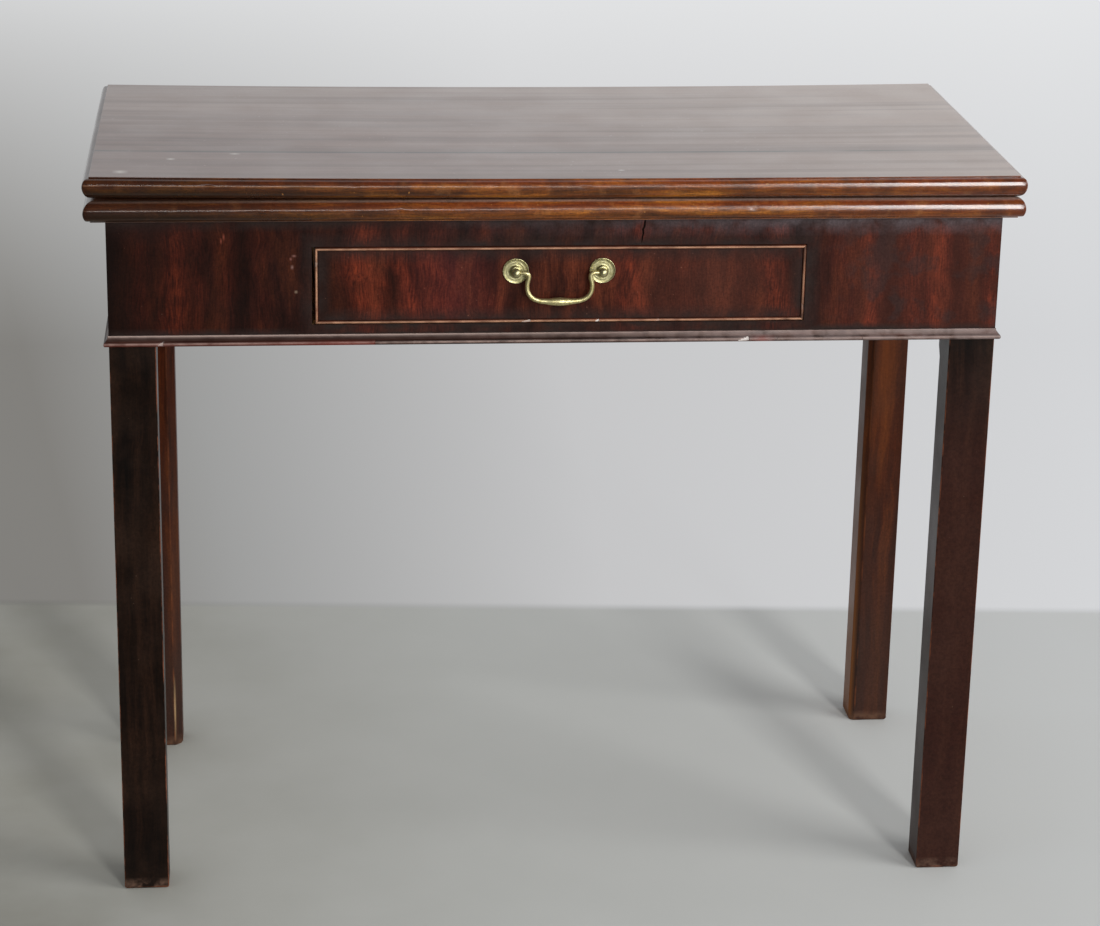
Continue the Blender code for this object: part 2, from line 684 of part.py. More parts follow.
def back_rail():
    left = -FIXED_LEG_INNER_X + SEAT
    right = SIDE_RAIL_INNER_X - SEAT
    rail = box("back_rail", (left, BACK_RAIL_FRONT_Y, FRIEZE_FOOT),
               (right, CARCASE_BACK_Y, RAIL_TOP), carcase_pine())
    add_tenon(rail, back_rail_tenon(-FIXED_LEG_INNER_X - TENON_LENGTH, left), "left",
              ((0, 0, 0), (OVERRUN, 0, 0)))
    add_tenon(rail, back_rail_tenon(right, SIDE_RAIL_INNER_X + STUB_TENON_LENGTH), "right",
              ((-OVERRUN, 0, 0), (0, 0, 0)))
    for i, share in enumerate(FLY_SCREW_PLACE_SHARES):
        x, z = fly_screw_place(share)
        cut(rail, rod(f"back rail screw hole {i}", (x, CARCASE_BACK_Y - SCREW_BITE, z),
                      (x, CARCASE_BACK_Y + OVERRUN, z),
                      SCREW_SHANK_DIAMETER + 2 * SCREW_CLEARANCE, SCREW_SIDES))
    return rail


def front_veneer():
    low = (-FRIEZE_X, FRIEZE_Y, MOULDING_TOP + SEAT)
    high = (FRIEZE_X, FRIEZE_Y + VENEER, RAIL_TOP)
    sheet = box("front_veneer", low, high, frieze_veneer())
    opening = box("front veneer opening", (OPENING_LEFT_X, FRIEZE_Y - OVERRUN, OPENING_FOOT),
                  (OPENING_RIGHT_X, RAIL_FACE_Y + OVERRUN, OPENING_HEAD))
    return cut(sheet, opening)


def side_veneer(side, sign):
    ends = sorted((sign * (FRIEZE_X - VENEER), sign * FRIEZE_X))
    return box(f"side_veneer_{side}", (ends[0], RAIL_FACE_Y, MOULDING_TOP + SEAT),
               (ends[1], CARCASE_BACK_Y, RAIL_TOP), frieze_veneer())


def moulding_profile():
    outer = [(p * MOULDING_REACH, h * MOULDING_HEIGHT) for p, h in MOULDING_PROFILE_SHARES]
    return outer + [(-VENEER, MOULDING_HEIGHT), (-VENEER, 0)]


def front_moulding():
    reach = FRIEZE_X - MITRE_GAP
    start = (-reach, FRIEZE_Y, FRIEZE_FOOT)
    end = (reach, FRIEZE_Y, FRIEZE_FOOT)
    return strip("moulding_front", start, end, -Y, Z, moulding_profile(), bead_mahogany(), 1, 1)


def side_moulding(side, sign):
    start = (sign * FRIEZE_X, FRIEZE_Y + MITRE_GAP, FRIEZE_FOOT)
    end = (sign * FRIEZE_X, CARCASE_BACK_Y, FRIEZE_FOOT)
    return strip(f"moulding_{side}", start, end, X * sign, Z, moulding_profile(), bead_mahogany(), 1, 0)


def finger_height():
    return (GATE_TOP - FRIEZE_FOOT) / KNUCKLE_FINGERS


def knuckle_outline(way, far_x):
    """Plan of a fly rail from its far end round its own knuckle; way points from pin to rail."""
    radius = FLY_RAIL_THICKNESS / 2
    reach = radius + KNUCKLE_CLEARANCE
    points = [(far_x, PIN_Y + radius), (KNUCKLE_PLACE_X + way * reach, PIN_Y + radius)]
    first = math.radians(KNUCKLE_BEVEL_DEGREES)
    last = -math.pi / 2
    for i in range(KNUCKLE_ARC_STEPS + 1):
        angle = first + (last - first) * i / KNUCKLE_ARC_STEPS
        x = KNUCKLE_PLACE_X - way * radius * math.cos(angle)
        points.append((x, PIN_Y + radius * math.sin(angle)))
    points.append((far_x, PIN_Y - radius))
    return points


def fly_rail(name, way, far_x, own_fingers):
    """One length of the fly rail, with its fingers and the hollows for the other's."""
    plan = knuckle_outline(way, far_x)
    rings = [[(x, y, z) for x, y in plan] for z in (FRIEZE_FOOT, GATE_TOP)]
    rail = rings_to_solid(name, rings, gate_mahogany())
    tall = finger_height()
    hollow = FLY_RAIL_THICKNESS + 2 * KNUCKLE_CLEARANCE
    for i in range(KNUCKLE_FINGERS):
        if i in own_fingers:
            continue
        low = FRIEZE_FOOT + i * tall - (FINGER_GAP / 2 if i else OVERRUN)
        last = i == KNUCKLE_FINGERS - 1
        high = FRIEZE_FOOT + (i + 1) * tall + (OVERRUN if last else FINGER_GAP / 2)
        cut(rail, rod(f"{name} hollow {i}", (KNUCKLE_PLACE_X, PIN_Y, low),
                      (KNUCKLE_PLACE_X, PIN_Y, high), hollow, 2 * KNUCKLE_ARC_STEPS))
    cut(rail, rod(f"{name} pin hole", (KNUCKLE_PLACE_X, PIN_Y, FRIEZE_FOOT - OVERRUN),
                  (KNUCKLE_PLACE_X, PIN_Y, GATE_TOP + OVERRUN),
                  KNUCKLE_PIN_DIAMETER + 2 * PIN_CLEARANCE, POST_SIDES))
    return rail


def fly_screw_place(share):
    x = -FRIEZE_X + share * (FRIEZE_X + KNUCKLE_PLACE_X)
    return x, (FRIEZE_FOOT + RAIL_TOP) / 2


def fly_rail_fixed():
    own = range(0, KNUCKLE_FINGERS, 2)
    rail = fly_rail("fly_rail_fixed", -1, -FRIEZE_X, own)
    for i, share in enumerate(FLY_SCREW_PLACE_SHARES):
        x, z = fly_screw_place(share)
        cut(rail, rod(f"fly rail pocket {i}", (x, FLY_BACK_Y - SCREW_POCKET_DEPTH, z),
                      (x, FLY_BACK_Y + OVERRUN, z),
                      SCREW_HEAD_DIAMETER + 2 * SCREW_CLEARANCE, SCREW_SIDES))
        cut(rail, rod(f"fly rail shank hole {i}", (x, FLY_FRONT_Y - OVERRUN, z),
                      (x, FLY_BACK_Y, z), SCREW_SHANK_DIAMETER + 2 * SCREW_CLEARANCE, SCREW_SIDES))
    return rail


def fly_rail_gate():
    own = range(1, KNUCKLE_FINGERS, 2)
    rail = fly_rail("fly_rail_gate", 1, GATE_LEG_INNER_X - SEAT, own)
    return add_tenon(rail, gate_tenon(), "leg", ((-OVERRUN, 0, 0), (0, 0, 0)))


def knuckle_pin():
    return rod("knuckle_pin", (KNUCKLE_PLACE_X, PIN_Y, FRIEZE_FOOT), (KNUCKLE_PLACE_X, PIN_Y, GATE_TOP),
               KNUCKLE_PIN_DIAMETER, POST_SIDES, iron())


def wood_screw(name, head_centre, axis, length):
    """A turned screw with a flat head; axis points from head to tip."""
    head, shank = SCREW_HEAD_DIAMETER / 2, SCREW_SHANK_DIAMETER / 2
    profile = [(head, 0), (head, SCREW_HEAD_THICKNESS / 2), (shank, SCREW_HEAD_THICKNESS),
               (shank, length - shank), (SCREW_TIP_DIAMETER / 2, length)]
    return turned(name, head_centre, axis, profile, SCREW_SIDES, iron())


def fly_rail_screw(index, share):
    x, z = fly_screw_place(share)
    head_y = FLY_BACK_Y - SCREW_POCKET_DEPTH + SCREW_HEAD_THICKNESS + SEAT
    length = head_y - CARCASE_BACK_Y + SCREW_BITE - SEAT
    return wood_screw(f"fly_rail_screw_{index}", (x, head_y, z), -Y, length)


def kicker_middle_x(sign):
    edge = guide_face_x(sign)
    return edge + sign * (GUIDE_WIDTH - RUNNER_WIDTH / 2)


def guide_face_x(sign):
    """The face that a drawer side slides along."""
    if sign < 0:
        return DRAWER_LEFT_X + DRAWER_SIDE_INSET - DRAWER_GAP
    return DRAWER_RIGHT_X - DRAWER_SIDE_INSET + DRAWER_GAP


def drawer_runner(side, sign):
    """An L-shaped runner: the ledge under the drawer side and the guide beside it."""
    outer = guide_face_x(sign) + sign * GUIDE_WIDTH
    top = DRAWER_FOOT
    profile = [(0, -RUNNER_HEIGHT), (RUNNER_WIDTH, -RUNNER_HEIGHT), (RUNNER_WIDTH, 0),
               (GUIDE_WIDTH, 0), (GUIDE_WIDTH, GUIDE_HEIGHT), (0, GUIDE_HEIGHT)]
    start = (outer, RAIL_FACE_Y + FRONT_BOTTOM_RAIL_DEPTH + SEAT, top)
    end = (outer, BACK_RAIL_FRONT_Y - SEAT, top)
    return strip(f"drawer_runner_{side}", start, end, X * -sign, Z, profile, carcase_pine())


def drawer_kicker(side, sign):
    middle = kicker_middle_x(sign)
    low = (middle - RUNNER_WIDTH / 2, RAIL_FACE_Y + RAIL_THICKNESS + SEAT, OPENING_HEAD)
    high = (middle + RUNNER_WIDTH / 2, BACK_RAIL_FRONT_Y - SEAT, RAIL_TOP)
    kicker = box(f"drawer_kicker_{side}", low, high, carcase_pine())
    for i, y in enumerate(top_screw_places()):
        cut(kicker, rod(f"{kicker.name} pocket {i}", (middle, y, OPENING_HEAD - OVERRUN),
                        (middle, y, OPENING_HEAD + SCREW_POCKET_DEPTH),
                        SCREW_HEAD_DIAMETER + 2 * SCREW_CLEARANCE, SCREW_SIDES))
        cut(kicker, rod(f"{kicker.name} shank hole {i}", (middle, y, OPENING_HEAD),
                        (middle, y, RAIL_TOP + OVERRUN),
                        SCREW_SHANK_DIAMETER + 2 * SCREW_CLEARANCE, SCREW_SIDES))
    return kicker


def top_screw_places():
    start = RAIL_FACE_Y + RAIL_THICKNESS
    run = BACK_RAIL_FRONT_Y - start
    return start + TOP_SCREW_END_SHARE * run, start + (1 - TOP_SCREW_END_SHARE) * run


def top_screw(side, sign, index, y):
    head_z = OPENING_HEAD + SCREW_POCKET_DEPTH - SCREW_HEAD_THICKNESS - SEAT
    length = LEAF_UNDERSIDE + SCREW_BITE - SEAT - head_z
    return wood_screw(f"top_screw_{side}_{index}", (kicker_middle_x(sign), y, head_z), Z, length)


def drill_for_top_screws(leaf_object):
    for side, sign in SIDES:
        for i, y in enumerate(top_screw_places()):
            x = kicker_middle_x(sign)
            cut(leaf_object, rod(f"leaf screw hole {side} {i}", (x, y, LEAF_UNDERSIDE - OVERRUN),
                                 (x, y, LEAF_UNDERSIDE + SCREW_BITE),
                                 SCREW_SHANK_DIAMETER + 2 * SCREW_CLEARANCE, SCREW_SIDES))


def glue_block(side, sign):
    """A rubbed block in the corner between a side rail and the leaf above."""
    corner_x = sign * (SIDE_RAIL_INNER_X - SEAT)
    middle = (FRONT_LEG_BACK_Y + FIXED_LEG_FRONT_Y) / 2
    profile = [(0, 0), (GLUE_BLOCK_SIZE, 0), (0, -GLUE_BLOCK_SIZE)]
    start = (corner_x, middle - GLUE_BLOCK_LENGTH / 2, RAIL_TOP)
    end = (corner_x, middle + GLUE_BLOCK_LENGTH / 2, RAIL_TOP)
    return strip(f"glue_block_{side}", start, end, X * -sign, Z, profile, carcase_pine())


def drawer_stop(side, sign):
    x = DRAWER_CENTRE_X + sign * STOP_SPREAD
    y = DRAWER_FRONT_BACK_Y + SEAT
    low = (x - STOP_WIDTH / 2, y, OPENING_FOOT + SEAT)
    high = (x + STOP_WIDTH / 2, y + STOP_DEPTH, OPENING_FOOT + SEAT + STOP_HEIGHT)
    return box(f"drawer_stop_{side}", low, high, carcase_pine())


def drawer_bottom_corners():
    reach = DRAWER_SIDE_INSET + DRAWER_SIDE_THICKNESS - GROOVE_DEPTH + SEAT
    low_z = DRAWER_FOOT + DRAWER_BOTTOM_RAISE
    return (Vector((DRAWER_LEFT_X + reach, DRAWER_FRONT_BACK_Y - GROOVE_DEPTH + SEAT, low_z)),
            Vector((DRAWER_RIGHT_X - reach, DRAWER_BACK_Y, low_z + DRAWER_BOTTOM_THICKNESS)))


def drawer_front():
    low = Vector((DRAWER_LEFT_X, FRIEZE_Y, DRAWER_FOOT))
    high = Vector((DRAWER_RIGHT_X, DRAWER_FRONT_BACK_Y, DRAWER_HEAD))
    front = box("drawer_front", low, high, frieze_veneer())
    depth = FRIEZE_Y + BEAD_LET_IN + SEAT
    width = BEAD_WIDTH
    rebates = (
        ("left", (low.x - OVERRUN, low.z - OVERRUN), (low.x + width, high.z + OVERRUN)),
        ("right", (high.x - width, low.z - OVERRUN), (high.x + OVERRUN, high.z + OVERRUN)),
        ("bottom", (low.x - OVERRUN, low.z - OVERRUN), (high.x + OVERRUN, low.z + width)),
        ("top", (low.x - OVERRUN, high.z - width), (high.x + OVERRUN, high.z + OVERRUN)))
    for label, (x0, z0), (x1, z1) in rebates:
        cut(front, box(f"bead rebate {label}", (x0, FRIEZE_Y - OVERRUN, z0), (x1, depth, z1)))
    cut(front, box("front groove", *grown(*drawer_bottom_corners(), SEAT)))
    for side, sign in SIDES:
        x = handle_x(sign)
        cut(front, rod(f"post hole {side}", (x, FRIEZE_Y - OVERRUN, BAIL_Z),
                       (x, DRAWER_FRONT_BACK_Y + OVERRUN, BAIL_Z),
                       POST_DIAMETER + 2 * PIN_CLEARANCE, POST_SIDES))
    return cut_dovetail_sockets(front, 0)


def drawer_outer_x(sign):
    edge = DRAWER_LEFT_X if sign < 0 else DRAWER_RIGHT_X
    return edge - sign * DRAWER_SIDE_INSET


def drawer_inner_x(sign):
    return drawer_outer_x(sign) - sign * DRAWER_SIDE_THICKNESS


def dovetail(name, sign, index, root_y, tip_y, grow):
    """One tail of a drawer side, wider at its tip; grow makes it the tool for its socket."""
    foot = drawer_bottom_corners()[1].z + SEAT
    pitch = (DRAWER_HEAD - DRAWER_BACK_DROP - foot) / DOVETAILS
    middle = foot + (index + 0.5) * pitch
    root = pitch * DOVETAIL_ROOT_SHARE / 2 + grow
    tip = pitch * DOVETAIL_TIP_SHARE / 2 + grow
    toward = 1 if tip_y > root_y else -1
    start_y, end_y = root_y - toward * OVERRUN, tip_y + toward * grow
    flare = (tip - root) / abs(tip_y - root_y)
    start = root - flare * OVERRUN
    end = tip + flare * grow
    rings = []
    outer = drawer_outer_x(sign) + sign * (OVERRUN if grow else 0)
    for x in (outer, drawer_inner_x(sign) - sign * grow):
        rings.append([(x, start_y, middle - start), (x, end_y, middle - end),
                      (x, end_y, middle + end), (x, start_y, middle + start)])
    return rings_to_solid(name, rings)


def dovetail_ends():
    """The root and the tip of the tails at the drawer's front and at its back."""
    front_root = DRAWER_FRONT_BACK_Y + SEAT
    back_root = DRAWER_BACK_Y - DRAWER_BACK_THICKNESS - SEAT
    return ((front_root, DRAWER_FRONT_BACK_Y - DOVETAIL_LAP), (back_root, DRAWER_BACK_Y))


def drawer_side(side, sign):
    ends = sorted((drawer_outer_x(sign), drawer_inner_x(sign)))
    front_y, back_y = (root for root, tip in dovetail_ends())
    low = (ends[0], front_y, DRAWER_FOOT + SEAT)
    high = (ends[1], back_y, DRAWER_HEAD - DRAWER_GAP)
    board = box(f"drawer_side_{side}", low, high, drawer_oak())
    for place, (root_y, tip_y) in enumerate(dovetail_ends()):
        for index in range(DOVETAILS):
            label = f"{board.name} tail {place} {index}"
            add(board, dovetail(label, sign, index, root_y, tip_y, 0))
    groove_low, groove_high = grown(*drawer_bottom_corners(), SEAT)
    groove_low.y -= OVERRUN
    groove_high.y += OVERRUN
    return cut(board, box(f"{board.name} groove", groove_low, groove_high))


def cut_dovetail_sockets(board, place):
    root_y, tip_y = dovetail_ends()[place]
    for side, sign in SIDES:
        for index in range(DOVETAILS):
            label = f"{board.name} socket {side} {index}"
            cut(board, dovetail(label, sign, index, root_y, tip_y, SEAT))
    return board


def drawer_back():
    foot = drawer_bottom_corners()[1].z + SEAT
    low = (drawer_outer_x(-1), DRAWER_BACK_Y - DRAWER_BACK_THICKNESS, foot)
    high = (drawer_outer_x(1), DRAWER_BACK_Y, DRAWER_HEAD - DRAWER_BACK_DROP)
    return cut_dovetail_sockets(box("drawer_back", low, high, drawer_oak()), 1)


def drawer_bottom():
    return box("drawer_bottom", *drawer_bottom_corners(), drawer_oak())


def bead_profile():
    """Points (across from the outer edge, depth from the drawer face) of the cock bead."""
    width = BEAD_WIDTH - SEAT
    radius = width / 2
    points = []
    for i in range(BEAD_NOSE_STEPS + 1):
        angle = math.pi * i / BEAD_NOSE_STEPS
        across = radius - radius * math.cos(angle)
        points.append((across, radius - BEAD_PROUD - radius * math.sin(angle)))
    return points + [(width, BEAD_LET_IN), (0, BEAD_LET_IN)]


def cock_bead(label, start, end, inward):
    along = (Vector(end) - Vector(start)).normalized() * MITRE_GAP
    return strip(f"cock_bead_{label}", Vector(start) + along, Vector(end) - along, inward, Y,
                 bead_profile(), bead_mahogany(), -1, -1)


def cock_beads():
    left, right = DRAWER_LEFT_X, DRAWER_RIGHT_X
    foot, head = DRAWER_FOOT, DRAWER_HEAD
    y = FRIEZE_Y
    return [cock_bead("left", (left, y, foot), (left, y, head), X),
            cock_bead("right", (right, y, foot), (right, y, head), -X),
            cock_bead("bottom", (left, y, foot), (right, y, foot), Z),
            cock_bead("top", (left, y, head), (right, y, head), -Z)]


def handle_x(sign):
    return HANDLE_CENTRE_X + sign * HANDLE_CENTRES / 2


def handle_rosette(side, sign):
    radius = ROSETTE_DIAMETER / 2
    hole = POST_DIAMETER / 2 + PIN_CLEARANCE
    profile = [(r * radius, t * ROSETTE_THICKNESS) for r, t in ROSETTE_PROFILE_SHARES]
    profile += [(hole, ROSETTE_THICKNESS), (hole, 0)]
    centre = (handle_x(sign), FRIEZE_Y - SEAT, BAIL_Z)
    return turned(f"rosette_{side}", centre, -Y, profile, ROSETTE_SIDES, brass(), closed=True)


def handle_post(side, sign):
    """A post through the drawer front, with a round head that the bail turns in."""
    shank, head = POST_DIAMETER / 2, POST_HEAD_DIAMETER / 2
    tail = DRAWER_FRONT_BACK_Y + NUT_THICKNESS + POST_TAIL_PROUD - BAIL_Y
    profile = [(shank, -tail)]
    neck = math.asin(shank / head)
    turns = POST_SIDES // 2
    for i in range(turns + 1):
        angle = neck + (math.pi - neck) * i / turns
        radius = max(head * math.sin(angle), POST_POLE_DIAMETER / 2)
        profile.append((radius, -head * math.cos(angle)))
    centre = (handle_x(sign), BAIL_Y, BAIL_Z)
    post = turned(f"post_{side}", centre, -Y, profile, POST_SIDES, brass())
    reach = Vector((head + OVERRUN, 0, 0))
    bore = rod(f"post bore {side}", Vector(centre) - reach, Vector(centre) + reach,
               BAIL_STUB + 2 * PIN_CLEARANCE, POST_SIDES)
    return cut(post, bore)


def handle_nut(side, sign):
    hole = POST_DIAMETER / 2 + PIN_CLEARANCE
    outer = NUT_SIZE / 2
    profile = [(outer, 0), (outer, NUT_THICKNESS), (hole, NUT_THICKNESS), (hole, 0)]
    centre = (handle_x(sign), DRAWER_FRONT_BACK_Y + SEAT, BAIL_Z)
    return turned(f"post_nut_{side}", centre, Y, profile, NUT_SIDES, brass(), closed=True, smooth=False)


def bail_points():
    """Points (x, z, radius) of the bail from its left stub to its right one."""
    half = HANDLE_CENTRES / 2
    arm = []
    for i, (across, down) in enumerate(BAIL_ARM_SHARES):
        radius = BAIL_STUB / 2 if i < BAIL_STUB_POINTS else BAIL_ROD / 2
        arm.append((across * half, -down * BAIL_DROP, radius))
    for across, down, swell in BAIL_MIDDLE_SHARES:
        radius = (BAIL_ROD + (BAIL_SWELL - BAIL_ROD) * swell) / 2
        arm.append((across * half, -down * BAIL_DROP, radius))
    left = [(-x, z, radius) for x, z, radius in arm]
    return left + arm[-2::-1]


def bail():
    curve = bpy.data.curves.new("bail", "CURVE")
    curve.dimensions = "3D"
    curve.resolution_u = BAIL_CURVE_STEPS
    curve.bevel_depth = BAIL_ROD / 2
    curve.bevel_resolution = BAIL_BEVEL_STEPS
    curve.use_fill_caps = True
    points = bail_points()
    spline = curve.splines.new("BEZIER")
    spline.bezier_points.add(len(points) - 1)
    for knot, (x, z, radius) in zip(spline.bezier_points, points):
        knot.co = (HANDLE_CENTRE_X + x, BAIL_Y, BAIL_Z + z)
        knot.handle_left_type = "AUTO"
        knot.handle_right_type = "AUTO"
        knot.radius = radius / curve.bevel_depth
    obj = bpy.data.objects.new("bail", curve)
    bpy.context.scene.collection.objects.link(obj)
    curve.materials.append(brass())
    return obj


def build_top():
    fixed = leaf("fixed_leaf", -1)
    drill_for_top_screws(fixed)
    baize("baize_fixed_leaf", -1)
    flap = [leaf("flap_leaf", 1), baize("baize_flap_leaf", 1)]
    for side, sign in SIDES:
        hinge_plate(f"hinge_plate_fixed_{side}", sign, -1)
        hinge_pin(f"hinge_pin_{side}", sign)
        flap.append(hinge_plate(f"hinge_plate_flap_{side}", sign, 1))
    return flap


def build_carcase():
    for side, sign in SIDES:
        front_leg(side, sign)
        front_panel(side, sign)
        side_rail(side, sign)
        side_veneer(side, sign)
        side_moulding(side, sign)
        drawer_runner(side, sign)
        drawer_kicker(side, sign)
        drawer_stop(side, sign)
        glue_block(side, sign)
        for index, y in enumerate(top_screw_places(), 1):
            top_screw(side, sign, index, y)
    fixed_rear_leg()
    front_rail("front_bottom_rail", FRIEZE_FOOT, OPENING_FOOT, FRONT_BOTTOM_RAIL_DEPTH)
    front_rail("front_top_rail", OPENING_HEAD, RAIL_TOP, RAIL_THICKNESS)
    back_rail()
    front_veneer()
    front_moulding()
    fly_rail_fixed()
    for index, share in enumerate(FLY_SCREW_PLACE_SHARES, 1):
        fly_rail_screw(index, share)


def build_gate():
    return [fly_rail_gate(), gate_leg(), knuckle_pin()]


def build_drawer():
    pieces = [drawer_front(), drawer_back(), drawer_bottom()] + cock_beads()
    for side, sign in SIDES:
        pieces += [drawer_side(side, sign), handle_rosette(side, sign), handle_post(side, sign),
                   handle_nut(side, sign)]
    return pieces


def main():
    clear_scene()
    carry(pivot("flap_axis", (0, HINGE_Y, PLAY_Z)), build_top())
    build_carcase()
    carry(pivot("gate_axis", (KNUCKLE_PLACE_X, PIN_Y, 0)), build_gate())
    drawer = pivot("drawer_slide", (DRAWER_CENTRE_X, FRIEZE_Y, DRAWER_FOOT))
    carry(drawer, build_drawer())
    axis = pivot("bail_axis", (HANDLE_CENTRE_X, BAIL_Y, BAIL_Z))
    carry(axis, [bail()])
    axis.location -= drawer.location
    axis.parent = drawer


main()
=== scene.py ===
# %% [markdown]
# # A mahogany games table, shown closed
# The real table is a folding top of two leaves on a frieze with one drawer, and four
# square legs, one of which swings out on a gate. The packed model gives every piece its
# place and its size. This lesson dresses it: wood grain, worn edges, brass and baize.

# %% Load the packed table
import math
import random

import bmesh
import bpy
from mathutils import Matrix, Vector, noise


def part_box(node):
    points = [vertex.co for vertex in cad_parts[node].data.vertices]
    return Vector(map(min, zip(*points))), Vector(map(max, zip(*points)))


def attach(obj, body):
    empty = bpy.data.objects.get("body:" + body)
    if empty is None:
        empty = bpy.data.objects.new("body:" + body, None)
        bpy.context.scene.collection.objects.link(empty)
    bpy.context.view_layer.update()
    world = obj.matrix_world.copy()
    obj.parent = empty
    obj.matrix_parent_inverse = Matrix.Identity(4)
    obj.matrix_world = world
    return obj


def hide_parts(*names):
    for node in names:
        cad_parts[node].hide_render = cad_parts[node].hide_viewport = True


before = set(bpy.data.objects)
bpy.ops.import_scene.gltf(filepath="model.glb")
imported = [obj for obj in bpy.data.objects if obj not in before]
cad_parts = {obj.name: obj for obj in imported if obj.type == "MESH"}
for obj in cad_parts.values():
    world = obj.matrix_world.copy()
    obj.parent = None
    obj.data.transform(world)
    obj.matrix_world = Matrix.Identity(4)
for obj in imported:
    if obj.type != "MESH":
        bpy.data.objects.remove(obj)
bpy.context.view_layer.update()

MM = 0.001

# %% [markdown]
# ## Where the camera stands
# The photographer stood a little left of the middle, at eye height, with a long lens. The
# place and the turn were worked out from the table's straight edges. They could be set by
# eye in the viewport, but a measured camera lets every edge be compared with the photograph.

# %% Camera
CAMERA_PLACE = Vector((-0.2880, -2.99875, 1.4214))
CAMERA_YAW, CAMERA_PITCH, CAMERA_ROLL = 0.10084, 0.3326, 0.0199
LENS_MM, SENSOR_MM = 99.45, 36.0

ahead = Vector((math.sin(CAMERA_YAW) * math.cos(CAMERA_PITCH),
                math.cos(CAMERA_YAW) * math.cos(CAMERA_PITCH), -math.sin(CAMERA_PITCH)))
level_right = ahead.cross(Vector((0, 0, 1))).normalized()
level_up = level_right.cross(ahead)
right = math.cos(CAMERA_ROLL) * level_right + math.sin(CAMERA_ROLL) * level_up
upward = math.cos(CAMERA_ROLL) * level_up - math.sin(CAMERA_ROLL) * level_right
lens = bpy.data.cameras.new("photographer")
lens.lens, lens.sensor_width = LENS_MM, SENSOR_MM
camera = bpy.data.objects.new("photographer", lens)
camera.matrix_world = (Matrix.Translation(CAMERA_PLACE)
                       @ Matrix((right, upward, -ahead)).transposed().to_4x4())
bpy.context.scene.collection.objects.link(camera)
bpy.context.scene.camera = camera
print("camera looks", math.degrees(CAMERA_PITCH), "degrees down")

# %% [markdown]
# ## A node helper
# Every finish below is a small tree of shader nodes. One helper adds a node, fills its
# sockets with numbers, colours or links, and gives back the output to plug into the next
# one. Colours are written as sRGB hex, as a paint chart gives them, and turned to linear.

# %% Helpers for nodes
def linear(hex_colour):
    values = [int(hex_colour[i:i + 2], 16) / 255 for i in (1, 3, 5)]
    toe = [v / 12.92 if v <= 0.04045 else ((v + 0.055) / 1.055) ** 2.4 for v in values]
    return (*toe, 1.0)


def add(tree, kind, inputs=(), stops=(), take=0, **settings):
    """Add one shader node; inputs maps a socket's name or number to a value or an output."""
    made = tree.nodes.new("ShaderNode" + kind)
    for name, value in settings.items():
        setattr(made, name, value)
    sockets = [s for s in made.inputs if s.enabled]
    for key, value in dict(inputs).items():
        socket = sockets[key] if isinstance(key, int) else next(s for s in sockets if s.name == key)
        if isinstance(value, bpy.types.NodeSocket):
            tree.links.new(value, socket)
        else:
            socket.default_value = linear(value) if isinstance(value, str) else value
    for i, (place, colour) in enumerate(stops):
        ramp = made.color_ramp.elements
        stop = ramp[i] if i < 2 else ramp.new(place)
        stop.position, stop.color = place, linear(colour)
    outputs = [s for s in made.outputs if s.enabled]
    return outputs[take] if isinstance(take, int) else next(s for s in outputs if s.name == take)


def times(tree, *shares):
    """All the shares multiplied together; each is a number or an output."""
    total = shares[0]
    for share in shares[1:]:
        total = add(tree, "Math", {0: total, 1: share}, operation="MULTIPLY")
    return total


def most(tree, first, second):
    return add(tree, "Math", {0: first, 1: second}, operation="MAXIMUM")


def tint(tree, amount, under, over, mode="MIX"):
    """Lay the colour over on the colour under, as much as amount says."""
    return add(tree, "Mix", {"Factor": amount, "A": under, "B": over},
               data_type="RGBA", blend_type=mode)


print("linear of middle grey:", round(linear("#808080")[0], 3))
